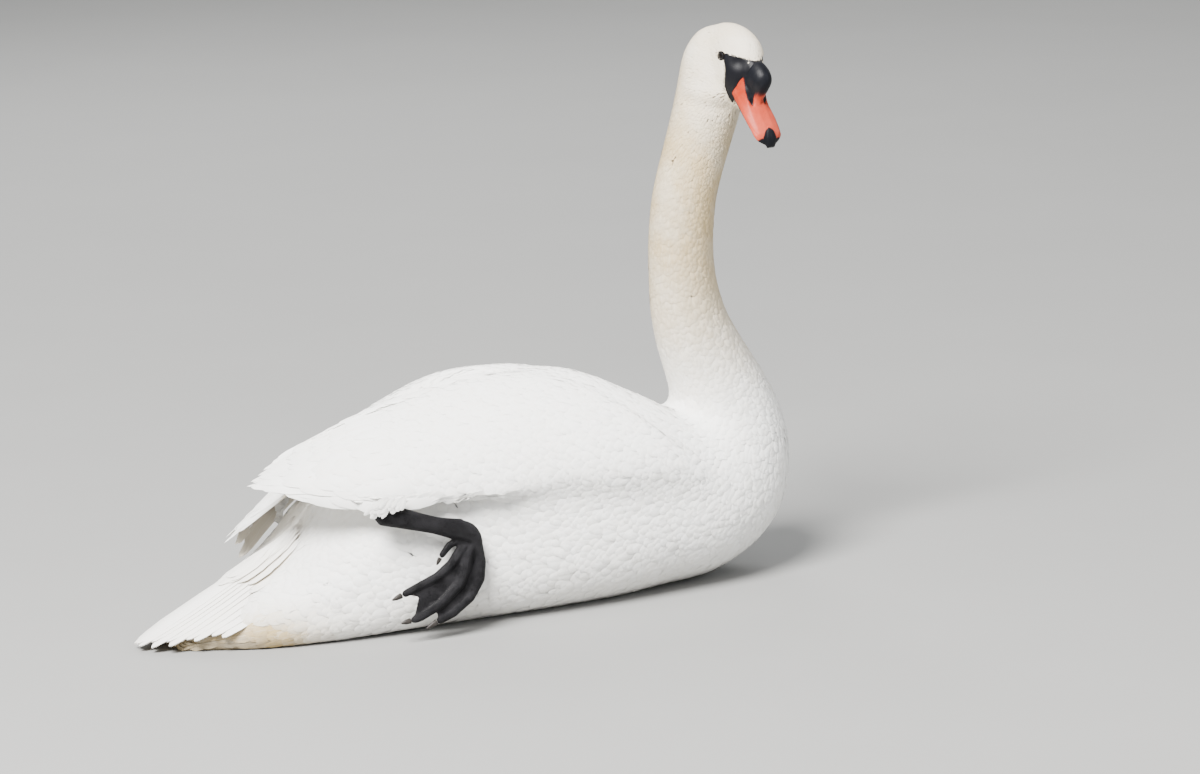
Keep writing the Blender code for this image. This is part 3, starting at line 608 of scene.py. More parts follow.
class Vanes:
    """Collects feathers of one piece, each a thin closed body along its own spine."""

    def __init__(self, body):
        self.body = body
        self.parts = []

    def trace(self, roots, length, shape, depth, rise):
        """Spines that start under the coat and come up to its face, following the lie."""
        stops = stops_of(shape)
        root, normal, heading, phi = self.body.nearest(roots)
        spine, up, ahead = [root], [normal], [heading]
        for share in np.diff(stops):
            goal = spine[-1] + heading * (length * share)[:, None]
            place, normal, flow, _ = self.body.nearest(goal)
            gentle = (heading * flow).sum(1, keepdims=True) > SHARP_TURN
            mixed = unit(heading * KEEP_HEADING + flow * (1 - KEEP_HEADING))
            mixed = np.where(gentle, mixed, heading)
            heading = along_face(mixed, normal)
            spine.append(place)
            up.append(normal)
            ahead.append(heading)
        spine, up, ahead = (np.stack(x, axis=1) for x in (spine, up, ahead))
        height = -depth[:, None] * (1 - stops[None, :]) ** 1.3 + rise[:, None] * stops[None, :] ** 2
        spine = spine + up * height[..., None]
        return dict(spine=spine, up=up, ahead=ahead, phi=phi, root=root, shape=shape)

    def add(self, run, half_width, thick, camber, ragged=0.06):
        """Turns spines into closed vanes: a ridge over a flat underside."""
        spine, up, ahead = run["spine"], run["up"], run["ahead"]
        tone = RNG.random(len(spine))
        stops, widths = (np.array(row) for row in SHAPES[run["shape"]])
        n, m = len(spine), len(stops) - 2
        inner = np.arange(1, m + 1)
        noise_l, noise_r = (1 + ragged * RNG.normal(size=(n, m)) for _ in "lr")
        w = (widths[None, :] * half_width[:, None])[:, inner]
        c, u_, s_ = spine[:, inner], up[:, inner], unit(np.cross(up, ahead))[:, inner]
        sink = (camber * w)[..., None] * u_
        left = c - s_ * (w * noise_l)[..., None] - sink
        right = c + s_ * (w * noise_r)[..., None] - sink
        top = c + u_ * thick
        co = np.concatenate([spine[:, :1], np.stack([left, top, right], 2).reshape(n, 3 * m, 3),
                             spine[:, -1:]], axis=1)
        along = np.concatenate([[0], np.repeat(stops[1:-1], 3), [1]])
        across = np.concatenate([[0], np.tile([-1.0, 0.0, 1.0], m), [0]])
        lean = TILT * s_
        soft = np.stack([u_ - lean, u_, u_ + lean], 2).reshape(n, 3 * m, 3)
        soft = soft + np.repeat(ahead[:, inner] * NOD * stops[inner][None, :, None] ** 3, 3, axis=1)
        soft = np.concatenate([up[:, :1], soft, up[:, -1:] + ahead[:, -1:] * NOD * TIP_NOD], axis=1)
        self.parts.append(dict(co=co, soft=leaning(unit(soft), co, m), along=along, across=across,
                               root=run["root"], phi=run["phi"], tone=tone))

    @staticmethod
    def pattern(m):
        """Corner numbers of one vane: top faces first, then its underside; four to a face."""
        top, under = [(0, 0, 2, 1), (0, 0, 3, 2)], [(0, 0, 1, 3)]
        for a in range(1, 3 * m - 2, 3):
            b = a + 3
            top += [(a, a + 1, b + 1, b), (a + 1, a + 2, b + 2, b + 1)]
            under += [(a + 2, a, b, b + 2)]
        end = 1 + 3 * m
        a = end - 3
        top += [(a, a + 1, end, end), (a + 1, a + 2, end, end)]
        under += [(a + 2, a, end, end)]
        return np.array(top + under)[:, ::-1], len(top)

    def build(self, name, material, slot, cream, painted_under_shade=0.0):
        """One mesh piece of all the vanes collected, their undersides tinted darker and creamier as painted
        shade.
        """
        faces, flat, base = [], [], 0
        stacks = dict(co=[], soft=[], along=[], across=[], root=[], phi=[], tone=[])
        for part in self.parts:
            n, size = part["co"].shape[:2]
            rows, top = self.pattern((size - 2) // 3)
            faces.append((rows[None] + base + size * np.arange(n)[:, None, None]).reshape(-1, 4))
            flat.append(np.tile(np.arange(len(rows)) >= top, n))
            for key, stack in stacks.items():
                if key in ("co", "soft"):
                    stack.append(part[key].reshape(-1, 3))
                elif key in ("along", "across"):
                    stack.append(np.tile(part[key], n))
                else:
                    stack.append(np.repeat(part[key], size, axis=0))
            base += n * size
        # All points come twice, the second time for the undersides.
        co, soft, along, across, root, phi, tone = (np.concatenate(s + s) for s in stacks.values())
        soft[base:] *= -1
        faces, flat = np.concatenate(faces), np.concatenate(flat)
        obj = mesh_object(name, on_floor(co, LEAST_HEIGHT), faces + base * flat[:, None], soft)
        uv = self.body.map_of(root, phi)
        low, high = uv.min(0), uv.max(0)
        uv = PATCH + (uv - low) / np.maximum(high - low, 1e-6) * (1 - 2 * PATCH)
        bake = uv + np.stack([across * PATCH / 2, (along - 0.5) * PATCH], axis=1)
        corner = np.empty(len(obj.data.loops), np.int32)
        obj.data.loops.foreach_get("vertex_index", corner)
        for label, data in (("OFBake", bake), ("vane", np.stack([across * 0.5 + 0.5, along], 1))):
            layer = obj.data.uv_layers.new(name=label)
            layer.data.foreach_set("uv", data[corner].astype(np.float32).ravel())
        shade = cream(root)
        # painted shade: the underside copies of all points get a creamier, darker tint
        shade[base:] += painted_under_shade
        point_values(obj, tone=tone, cream=shade, along=along)
        settle(obj, slot, material)


# ------------------------------------------------------------------ materials
WHITE = (0.955, 0.950, 0.930)
COOL = (0.900, 0.905, 0.900)
CREAM = (0.500, 0.360, 0.150)
STAIN = (0.72, 0.66, 0.50)
# painted shade: brown-cream colour of the shaded undertail
UNDERTAIL_SHADE = (0.38, 0.31, 0.20)
SHEEN = 0.16                  # specular level of bare skin and horn


def new_material(name):
    made = bpy.data.materials.new(name)
    made.use_nodes = True
    tree = made.node_tree
    return made, tree, next(n for n in tree.nodes if n.type == "BSDF_PRINCIPLED")


def connect(tree, target, inputs):
    """Links sockets to a node's inputs, and sets its constants directly."""
    for key, value in inputs.items():
        if isinstance(value, bpy.types.NodeSocket):
            tree.links.new(value, target.inputs[key])
        else:
            target.inputs[key].default_value = value


def node(tree, kind, inputs, **settings):
    made = tree.nodes.new(kind)
    for key, value in settings.items():
        setattr(made, key, value)
    connect(tree, made, inputs)
    return made


def mix_colour(tree, factor, one, two):
    one, two = ((*c, 1.0) if isinstance(c, tuple) else c for c in (one, two))
    return node(tree, "ShaderNodeMix", {0: factor, 6: one, 7: two}, data_type="RGBA").outputs[2]


def maths(tree, operation, one, two=0.0):
    return node(tree, "ShaderNodeMath", {0: one, 1: two}, operation=operation).outputs[0]


def ramp(tree, value, low, high, out_low=0.0, out_high=1.0):
    made = node(tree, "ShaderNodeMapRange", {0: value, 1: low, 2: high, 3: out_low, 4: out_high},
                interpolation_type="SMOOTHSTEP")
    return made.outputs[0]


def attribute(tree, name):
    return node(tree, "ShaderNodeAttribute", {}, attribute_name=name).outputs["Fac"]


def bump(tree, height, strength, distance):
    inputs = {"Height": height, "Strength": strength, "Distance": distance}
    return node(tree, "ShaderNodeBump", inputs).outputs[0]


def position(tree):
    return node(tree, "ShaderNodeTexCoord", {}).outputs["Object"]


def noise(tree, scale, detail=3.0, roughness=0.55):
    inputs = {"Scale": scale, "Detail": detail, "Roughness": roughness, "Vector": position(tree)}
    return node(tree, "ShaderNodeTexNoise", inputs).outputs["Fac"]


def plumage_colour(tree, tone):
    """White, turning cream where the coat says so and to a painted undertail shade where that value passes
    1, with small differences between feathers.
    """
    cream = attribute(tree, "cream")
    patch = ramp(tree, noise(tree, 22.0), 0.35, 0.75)
    base = mix_colour(tree, maths(tree, "MINIMUM", cream, 1.0), WHITE, CREAM)
    # painted shade: values above 1 turn to the undertail's shade colour
    base = mix_colour(tree, ramp(tree, cream, 1.0, 2.0), base, UNDERTAIL_SHADE)
    base = mix_colour(tree, maths(tree, "MULTIPLY", patch, 0.25), base, COOL)
    return mix_colour(tree, ramp(tree, tone, 0.0, 1.0, 0.0, 0.10), base, STAIN)


def feather_material(name, barbs=90.0):
    """Slanting barbs on both sides of a pale shaft."""
    made, tree, shader = new_material(name)
    colour = plumage_colour(tree, attribute(tree, "tone"))
    uv = node(tree, "ShaderNodeUVMap", {}, uv_map="vane").outputs[0]
    split = node(tree, "ShaderNodeSeparateXYZ", {0: uv})
    across = maths(tree, "ABSOLUTE", maths(tree, "SUBTRACT", split.outputs[0], 0.5))
    slant = maths(tree, "SUBTRACT", split.outputs[1], maths(tree, "MULTIPLY", across, 0.55))
    lines = maths(tree, "SINE", maths(tree, "MULTIPLY", slant, barbs * 2.2))
    shaft = ramp(tree, across, 0.010, 0.035, 1.0, 0.0)
    height = maths(tree, "ADD", maths(tree, "MULTIPLY", lines, 0.5), shaft)
    connect(tree, shader, {
        "Base Color": mix_colour(tree, maths(tree, "MULTIPLY", shaft, 0.25), colour, COOL),
        "Normal": bump(tree, height, 0.25, 0.0004),
        "Roughness": 0.72,
        "Specular IOR Level": 0.25,
    })
    return made


def skin_material(name):
    """Down under the feathers, and bare black skin at the face."""
    made, tree, shader = new_material(name)
    white = plumage_colour(tree, noise(tree, 300.0))
    bare = attribute(tree, "bare")
    black = mix_colour(tree, noise(tree, 900.0), (0.0015, 0.0016, 0.0026), (0.006, 0.006, 0.009))
    connect(tree, shader, {
        "Base Color": mix_colour(tree, bare, white, black),
        "Roughness": ramp(tree, bare, 0.0, 1.0, 0.75, 0.42),
        "Normal": bump(tree, noise(tree, 1400.0, 4.0), 0.35, 0.0003),
        "Specular IOR Level": SHEEN,
    })
    return made


def foot_material(name):
    """Dark leathery skin with small plates."""
    made, tree, shader = new_material(name)
    cells = node(tree, "ShaderNodeTexVoronoi", {"Vector": position(tree), "Scale": 520.0},
                 feature="DISTANCE_TO_EDGE").outputs["Distance"]
    plate = ramp(tree, cells, 0.02, 0.16)
    cloud = ramp(tree, noise(tree, 60.0, 4.0), 0.36, 0.64)
    dark = mix_colour(tree, cloud, (0.0012, 0.0011, 0.0015), (0.013, 0.0125, 0.014))
    height = maths(tree, "ADD", plate, maths(tree, "MULTIPLY", noise(tree, 260.0), 0.8))
    connect(tree, shader, {
        "Base Color": mix_colour(tree, maths(tree, "MULTIPLY", plate, 0.35), dark, (0.024, 0.023, 0.026)),
        "Roughness": ramp(tree, cloud, 0.0, 1.0, 0.40, 0.58),
        "Normal": bump(tree, height, 0.7, 0.0006),
        "Specular IOR Level": 0.11,
    })
    return made


def bill_material(name):
    """Orange horn running pinker to the tip, black at base, nostril, edge and nail."""
    made, tree, shader = new_material(name)
    black = attribute(tree, "black")
    mottle = noise(tree, 160.0, 4.0, 0.6)
    orange = mix_colour(tree, attribute(tree, "warm"), (0.320, 0.022, 0.004), (0.430, 0.060, 0.032))
    orange = mix_colour(tree, ramp(tree, mottle, 0.35, 0.75, 0.0, 0.35), orange, (0.50, 0.085, 0.045))
    fine = ramp(tree, noise(tree, 700.0, 2.0), 0.55, 0.8, 0.0, 0.3)
    orange = mix_colour(tree, fine, orange, (0.30, 0.028, 0.009))
    dark = mix_colour(tree, mottle, (0.0015, 0.0017, 0.0028), (0.006, 0.0066, 0.010))
    height = maths(tree, "ADD", noise(tree, 420.0, 4.0), maths(tree, "MULTIPLY", mottle, 1.5))
    connect(tree, shader, {
        "Base Color": mix_colour(tree, black, orange, dark),
        "Roughness": ramp(tree, black, 0.0, 1.0, 0.42, 0.46),
        "Normal": bump(tree, height, 0.30, 0.0006),
        "Specular IOR Level": SHEEN,
    })
    return made


def plain_material(name, one, two, roughness, scale, depth=0.0003, coat=0.0):
    """Two colours in a fine grain, with an optional wet coat."""
    made, tree, shader = new_material(name)
    grain = noise(tree, scale, 4.0)
    connect(tree, shader, {
        "Base Color": mix_colour(tree, grain, one, two),
        "Normal": bump(tree, grain, 0.3, depth),
        "Roughness": roughness,
        "Specular IOR Level": 0.18,
        "Coat Weight": coat,
        "Coat Roughness": 0.05,
    })
    return made


# ------------------------------------------------------------------ markings
def cream_and_shade_of(points):
    """How cream the plumage is, fading down the neck, with painted shade low on the rump; above 1 it turns
    to the painted shade of the undertail.
    """
    points = np.asarray(points, float)
    rear, z = -points[:, 0], points[:, 2]
    neck = neckness(points) * (0.52 + 0.38 * smooth_step(z, 0.24, 0.40))
    head = 1 - smooth_step(np.linalg.norm(in_head(points), axis=1), 0.035, 0.115)
    # painted shade under the tail: the low rump is made creamier
    rump_shade = smooth_step(rear, 0.13, 0.30) * (1 - smooth_step(z, 0.010, 0.075))
    low = 1 - smooth_step(z, 0.0, 0.07)
    # painted shade of the undertail, pushing the value above 1
    under = smooth_step(rear, 0.17, 0.28) * (1 - smooth_step(z, 0.008, 0.045))
    return np.clip(neck - 0.30 * head + 0.7 * rump_shade + 0.10 * low, 0, 1) + under


def inside(points, loop):
    """True where 2-D points lie inside a closed loop of corners."""
    hit = np.zeros(len(points), bool)
    x, y = points[:, 0], points[:, 1]
    for (x1, y1), (x2, y2) in zip(loop, loop[1:] + loop[:1]):
        slope = (x2 - x1) * (y - y1) / (y2 - y1 + 1e-12) + x1
        hit ^= ((y1 > y) != (y2 > y)) & (x < slope)
    return hit


# Bare face patch seen from the side, in bill coordinates: eye, knob, bill corner and cheek.
LORE_LOOP = [(0.0040, 0.0085), (0.0035, 0.0160), (0.0110, 0.0196), (0.0155, 0.0228), (0.0240, 0.0268),
             (0.0300, 0.0275), (0.0420, 0.0200), (0.0420, -0.0300), (0.0330, -0.0215), (0.0265, -0.0150),
             (0.0205, -0.0030), (0.0145, 0.0040), (0.0085, 0.0078)]
LORE_MIDDLE = (0.0270, 0.0080)
EYE_BARE, EYE_BARE_HEIGHT, EYE_BESIDE = 0.0061, 1.12, 0.018


def bareness(points, inset=0.0):
    """True on the bare black skin between eye and bill; inset shrinks that patch."""
    side_view = in_bill(points)[:, [0, 2]]
    out = side_view - np.array(LORE_MIDDLE)
    side_view += out / np.maximum(np.linalg.norm(out, axis=1), 1e-6)[:, None] * inset
    head, eye = in_head(points), in_head(EYES["right"])
    near = np.linalg.norm(head, axis=1) < 0.075
    round_eye = np.hypot(head[:, 0] - eye[0], (head[:, 2] - eye[2]) * EYE_BARE_HEIGHT) < EYE_BARE
    return near & (inside(side_view, LORE_LOOP) | (np.abs(head[:, 1]) > EYE_BESIDE) & round_eye)


# ------------------------------------------------------------------ skin
def refine_head(co, quads):
    """Finer mesh over the head, and triangles everywhere."""
    work = bmesh.new()
    verts = [work.verts.new(p) for p in co.tolist()]
    for q in quads.tolist():
        work.faces.new([verts[i] for i in q])
    near = headness(co) > 0.25
    work.verts.index_update()
    edges = [e for e in work.edges if near[e.verts[0].index] and near[e.verts[1].index]]
    bmesh.ops.subdivide_edges(work, edges=edges, cuts=2, use_grid_fill=True)
    bmesh.ops.triangulate(work, faces=[f for f in work.faces if len(f.verts) != 3])
    work.verts.index_update()
    made = np.array([v.co for v in work.verts])
    faces = np.array([[v.index for v in f.verts] for f in work.faces])
    work.free()
    return made, faces


def coat_depth(co):
    """How deep the skin lies under the coat's face."""
    neck, head = neckness(co), headness(co)
    depth = BODY_COAT * (1 - neck) + NECK_COAT * neck
    return depth * (1 - head) + HEAD_COAT * head


def limb_surface(names, size):
    """One smooth surface round bare solids, such as a shank with its foot."""
    shells = [node_arrays(name) for name in names]
    co, quads = voxel_surface(*joined([(grown(co, tri, LIMB_GROWTH), tri) for co, tri in shells]), size)
    return on_floor(relax(co, quads, 5)), halved(quads)


def shape_face(co, normals):
    """Narrows the brow over the knob and fills the angle where knob and forehead meet."""
    bill = in_bill(co)
    bill[:, 1] = np.abs(bill[:, 1])
    brow = hump(np.linalg.norm(bill - BROW, axis=1), 0, BROW_REACH)
    tree = tree_of(*node_arrays("bill_knob"))
    fill = np.zeros(len(co))
    for i in np.flatnonzero((bill[:, 0] > 0.004) & (bill[:, 2] > -0.004) & (bill[:, 1] < 0.030)):
        hit = tree.find_nearest(Vector(co[i]), FILLET_REACH)
        if hit[0] is not None:
            fill[i] = (1 - hit[3] / FILLET_REACH) ** 2
    return co + normals * (fill * FILLET_RISE - brow * BROW_DROP)[:, None]


def open_sockets(co):
    """Draws the skin in behind each eyeball, so that the eye shows inside its lids."""
    head = in_head(co)
    for tag, at in EYES.items():
        radius, eye = eye_radius(tag), in_head(at)
        off = np.hypot(head[:, 0] - eye[0], head[:, 2] - eye[2]) * HEAD_SCALE
        beside = (np.sign(head[:, 1]) == np.sign(eye[1])) & (np.abs(head[:, 1]) > SOCKET_SIDE)
        share = (1 - smooth_step(off, radius * LID_REACH, radius * (LID_REACH + SOCKET_EDGE))) * beside
        co = co + (at - co) * (share * SOCKET_SINK)[:, None]
    return co


def make_skin(body, white, dark):
    """One skin under the whole coat, with the bare skin of face, shanks and feet."""
    co, faces = refine_head(body.co, body.quads)
    co = relax(co, faces, np.round(8 * (headness(co) > 0.2)))
    normals = vertex_normals(co, faces)
    cover = smooth_step(soft_edged(bareness(co), faces), 0.25, 0.75)
    depth = coat_depth(co) * (1 - cover * (headness(co) > 0.3))
    co = on_floor(open_sockets(shape_face(co - normals * depth[:, None], normals)))
    limbs = [limb_surface((f"tarsus_{tag}", f"foot_{tag}"), LIMB_VOXEL) for tag in EYES]
    points, tri = joined([(co, faces), *limbs])
    limb_bare = np.ones(len(points) - len(co))
    obj = mesh_object("skin", points, tri)
    point_values(obj, bare=np.append(cover, limb_bare), cream=np.append(cream_and_shade_of(co), 0 * limb_bare))
    settle(obj, "white_plumage", white, dark, stands_for=(*FLESH, *WINGS, *LIMBS, "tail"))
    leather = np.arange(len(tri)) >= len(faces)
    obj.data.polygons.foreach_set("material_index", leather.astype(np.int32))


# ------------------------------------------------------------------ feather tracts
TRACTS = (
    # name, least and most spacing wanted, spacing used
    ("face", 0.0000, 0.0016, 0.0014),
    ("head", 0.0016, 0.0022, 0.0019),
    ("nape", 0.0022, 0.0030, 0.0026),
    ("neck", 0.0030, 0.0042, 0.0036),
    ("foreneck", 0.0042, 0.0056, 0.0049),
    ("flank", 0.0056, 0.0200, 0.0062),
)
SPACING_AT = ([0.02, 0.05, 0.09, 0.18, 0.30, 0.45, 0.60],       # distance from the face
              [0.0013, 0.0017, 0.0022, 0.0030, 0.0038, 0.0050, 0.0066])
BODY_SPACING, NECK_SPACING = 0.0066, 0.0045
TINY, SMALL = 0.003, 0.004    # spacings below which feathers have a simpler shape, and lap less
SPECKLE = 0.16                # share of tiny feathers that stray over the top of the knob
MOST_IN_PIECE = 150000        # triangles
HALF_WIDTH, LENGTH_SPREAD, WIDTH_SPREAD = 1.06, 0.12, 0.10
STRAY_Y, STRAY_Z, STRAY_X = 0.010, 0.018, 0.019       # where strays may be, bill coordinates
INSET = 0.0010                # feathers reach this far over the edge of the bare face


def spacing_wanted(co):
    """Distance between feather tips: least at the face, most on the body."""
    face = np.linalg.norm(in_bill(co) - [0.022, 0, 0.0], axis=1)
    body = BODY_SPACING * (1 - neckness(co)) + NECK_SPACING * neckness(co)
    return np.minimum(np.interp(face, *SPACING_AT), body)


def scattered_feathers(body, spacing, chosen):
    """Roots of a tract, off the bare face but for a few strays over the knob."""
    roots = body.scatter(spacing, chosen)
    bill = in_bill(roots)
    speckle = (np.abs(bill[:, 1]) < STRAY_Y) & (bill[:, 2] > STRAY_Z) & (bill[:, 0] > STRAY_X)
    speckle &= RNG.random(len(roots)) < SPECKLE
    return roots[~bareness(roots, INSET) | speckle]


def sound_run(made, roots, reach, shape, depth, rise):
    """Traced spines, shorter where they would fold, and a flag for those that are fit to use."""
    run = made.trace(roots, reach, shape, depth, rise)
    short = np.flatnonzero(~sound(run))
    if len(short):
        again = made.trace(roots[short], reach[short] * 0.5, shape, depth[short] * 0.5, rise[short])
        for key in ("spine", "up", "ahead"):
            run[key][short] = again[key]
    good = sound(run, 0.0, 0.40)
    return {key: value if key == "shape" else value[good] for key, value in run.items()}, good


def grow_tracts(body, material):
    """The coat of head, neck, breast, flanks and back, one tract after the other."""
    mid = body.co[body.quads].mean(1)
    wanted = spacing_wanted(mid) * np.exp(0.10 * RNG.normal(size=len(mid)))
    bill = in_bill(mid)
    hidden = (bill[:, 0] > 0.0330) & (np.linalg.norm(in_head(mid), axis=1) < 0.09) & (bill[:, 2] > -0.026)
    hidden |= in_wing_zone(mid)
    for name, low, high, spacing in TRACTS:
        roots = scattered_feathers(body, spacing, (wanted >= low) & (wanted < high) & ~hidden)
        n = len(roots)
        lapping, thick = (4.2, 0.028) if spacing < SMALL else (4.8, 0.040)
        tiny = spacing < TINY
        shape, slot, triangles = ("small", "cream_plumage", 12) if tiny else ("body", "white_plumage", 24)
        depth = coat_depth(roots) * ROOT_SINK
        reach = spacing * lapping * np.exp(LENGTH_SPREAD * RNG.normal(size=n))
        half = spacing * HALF_WIDTH * np.exp(WIDTH_SPREAD * RNG.normal(size=n))
        pieces = int(np.ceil(n * triangles / MOST_IN_PIECE))
        order = np.argsort(np.arctan2(roots[:, 1], roots[:, 0])) if pieces > 1 else np.arange(n)
        for k, g in enumerate(np.array_split(order, pieces)):
            made = Vanes(body)
            rise = 0.0001 + 0.0004 * RNG.random(len(g)) * (spacing / 0.006)
            run, good = sound_run(made, roots[g], reach[g], shape, depth[g], rise)
            made.add(run, half[g][good], spacing * thick, 0.03)
            tag = f"{name}_{k + 1}" if pieces > 1 else name
            made.build("coat_" + tag, material, slot, cream_and_shade_of)


# ------------------------------------------------------------------ bill
HORN = ("bill_upper", "bill_knob", "bill_nail")
AXIS_X = (0.020, 0.050, 0.080, 0.100, 0.1135)          # bill axis, bill coordinates
AXIS_Z = (-0.0080, -0.0105, -0.0135, -0.0165, -0.0226)
BILL_START, BILL_END, BILL_CAP = 0.0210, 0.1126, 0.0002
BILL_FAR = 0.09               # looking in at the axis from here
COARSE, FINE = (94, 144), (170, 176)       # sections, and points round each
HORN_GROWTH = 1.012
KNOB_FORWARD, KNOB_SWELL = 0.0032, 0.0017
KNOB_CREST, KNOB_FALL = 0.0400, 0.22       # behind this the knob runs back into the forehead
SPATULA = 0.08                # how much the bill widens in each of two steps towards its tip
SPATULA_X = ((0.056, 0.078), (0.090, 0.102))
NOSTRIL_X, NOSTRIL_Y, NOSTRIL_LENGTH, NOSTRIL_WIDTH = 0.0625, 0.0090, 0.0036, 0.0022
NOSTRIL_DOWN, NOSTRIL_IN = 0.0022, 0.0012
GROOVE_Z, GROOVE_WIDTH, GROOVE_DEPTH = -0.0155, 0.0009, 0.00035

# Edges of the black marks: x over the rise about the axis in degrees, or the other way round.
BASE_EDGE = ([-30.0, -9.5, 10.0, 24.0, 40.0, 53.0], [0.0380, 0.0371, 0.0351, 0.0322, 0.0329, 0.0322])
KNOB_LINE = ([0.0312, 0.0380, 0.0428, 0.0477, 0.0528, 0.0573], [53.0, 52.0, 47.0, 41.0, 36.5, 30.5])
KNOB_FRONT = ([30.0, 35.0, 40.0, 48.0, 56.0, 64.0, 67.0, 73.0, 82.0, 90.0],
              [0.0573, 0.0618, 0.0660, 0.0632, 0.0605, 0.0580, 0.0574, 0.0598, 0.0624, 0.0631])
CUTTING_EDGE = ([0.034, 0.038, 0.048, 0.065, 0.080, 0.093, 0.104],        # height over x
                [-0.0125, -0.0155, -0.0176, -0.0184, -0.0190, -0.0200, -0.0212])
NAIL_HALF = ([0.0953, 0.0985, 0.1030, 0.1080], [0.0, 0.0042, 0.0066, 0.0088])   # half width over x
TIP_X, TIP_Z = 0.1045, -0.0160


def bill_grid(stations, angles):
    """Envelope of upper mandible, knob and nail, as distance from the axis."""
    tree = tree_of(*joined([node_arrays(name) for name in HORN]))
    axis = from_bill(np.stack([stations, 0 * stations, np.interp(stations, AXIS_X, AXIS_Z)], axis=1))
    reach = np.full((len(stations), len(angles)), np.nan)
    for j, angle in enumerate(angles):
        ray = BILL_AXES[1] * math.cos(angle) + BILL_AXES[2] * math.sin(angle)
        for i, p in enumerate(axis):
            hit = tree.ray_cast(Vector(p + ray * BILL_FAR), Vector(-ray), BILL_FAR)[0]
            if hit is not None:
                reach[i, j] = np.linalg.norm(np.array(hit) - p)
        lost = np.isnan(reach[:, j])
        found = np.flatnonzero(~lost)
        if len(found):
            reach[lost, j] = np.interp(np.flatnonzero(lost), found, reach[found, j])
    return reach


def blur_round(grid, rounds):
    for _ in range(rounds):
        grid = (np.roll(grid, 1, 1) + 2 * grid + np.roll(grid, -1, 1)) / 4
    return grid


def blur_along(grid, rounds):
    for _ in range(rounds):
        inner = (grid[:-2] + 2 * grid[1:-1] + grid[2:]) / 4
        grid = np.concatenate([grid[:1], inner, grid[-1:]])
    return grid


def hull_reach(reach, angles):
    """Each section's convex outline, as distance from the axis."""
    ahead = np.cos(angles[:, None] - angles[None, :])
    support = (reach[:, None, :] * ahead[None]).max(2)
    ratio = np.where(ahead[None] > 0.05, support[:, None, :] / np.maximum(ahead[None], 0.05), 9.0)
    return ratio.min(2)


def swell_knob(reach, x, angles):
    """Carries the knob's full round forward, so that it overhangs the culmen."""
    top = smooth_step(np.sin(angles), 0.10, 0.75)[None, :]
    push = KNOB_FORWARD * smooth_step(x, 0.040, 0.052) * (1 - smooth_step(x, 0.064, 0.074))
    moved = np.stack([np.interp(x - push, x, reach[:, j]) for j in range(len(angles))], axis=1)
    crest = reach[np.abs(x - KNOB_CREST).argmin()][None, :]
    back = np.clip((KNOB_CREST - x) / (KNOB_CREST - BILL_START), 0, 1)[:, None]
    high = smooth_step(np.sin(angles), 0.78, 0.94)[None, :]
    moved = np.where(back > 0, np.maximum(moved, crest * (1 - KNOB_FALL * back**2) * high), moved)
    swell = KNOB_SWELL * hump(x, 0.046, 0.013)[:, None]
    return (moved + swell) * top + reach * (1 - top)


def bill_black(p):
    """True on the black parts of the upper mandible; p in bill coordinates."""
    x, y, z = p[:, 0], np.abs(p[:, 1]), p[:, 2]
    rise = np.degrees(np.arctan2(z - np.interp(x, AXIS_X, AXIS_Z), y))
    base = x < np.interp(rise, *BASE_EDGE)
    knob = (rise > np.interp(x, *KNOB_LINE)) & (x < np.interp(rise, *KNOB_FRONT))
    edge = z < np.interp(x, *CUTTING_EDGE)
    nail = (x > NAIL_HALF[0][0]) & (y < np.interp(x, *NAIL_HALF))
    return base | knob | edge | nail | (x > TIP_X) & (z < TIP_Z)


def horn_points():
    """Points of mandible, knob and nail, section by section, in bill coordinates."""
    coarse_x, fine_x = (np.linspace(BILL_START, BILL_END, count[0]) for count in (COARSE, FINE))
    coarse_a, fine_a = (np.linspace(0, 2 * np.pi, count[1], endpoint=False) for count in (COARSE, FINE))
    reach = blur_along(blur_round(bill_grid(coarse_x, coarse_a), 2), 4)
    at_base = (1 - smooth_step(coarse_x, 0.034, 0.044))[:, None]
    reach = hull_reach(reach, coarse_a) * at_base + reach * (1 - at_base)
    reach = blur_round(swell_knob(reach, coarse_x, coarse_a), 2)
    wrapped = np.concatenate([reach, reach[:, :1]], axis=1)
    by_angle = np.stack([np.interp(fine_a, np.append(coarse_a, 2 * np.pi), row) for row in wrapped])
    grid = np.stack([np.interp(fine_x, coarse_x, column) for column in by_angle.T], axis=1)
    grid = blur_along(blur_round(grid, 2), 3) * HORN_GROWTH
    z = np.interp(fine_x, AXIS_X, AXIS_Z)[:, None]
    p = np.stack([fine_x[:, None] + 0 * grid, grid * np.cos(fine_a), z + grid * np.sin(fine_a)], axis=2)
    return p.reshape(-1, 3)


def carved(p):
    """The horn widened to its tip, with nostrils and a groove over the cutting edge."""
    x, y, z = p.T.copy()
    y *= 1 + sum(SPATULA * smooth_step(x, *step) for step in SPATULA_X)
    hole = ((x - NOSTRIL_X) / NOSTRIL_LENGTH) ** 2 + ((np.abs(y) - NOSTRIL_Y) / NOSTRIL_WIDTH) ** 2
    sink = np.exp(-(hole**1.5)) * (z > -0.010)
    z -= NOSTRIL_DOWN * sink
    y -= np.sign(y) * NOSTRIL_IN * sink
    groove = hump(z, GROOVE_Z, GROOVE_WIDTH) * smooth_step(x, 0.036, 0.05)
    y -= np.sign(y) * GROOVE_DEPTH * groove * (np.abs(y) > 0.010)
    return np.stack([x, y, z], axis=1)


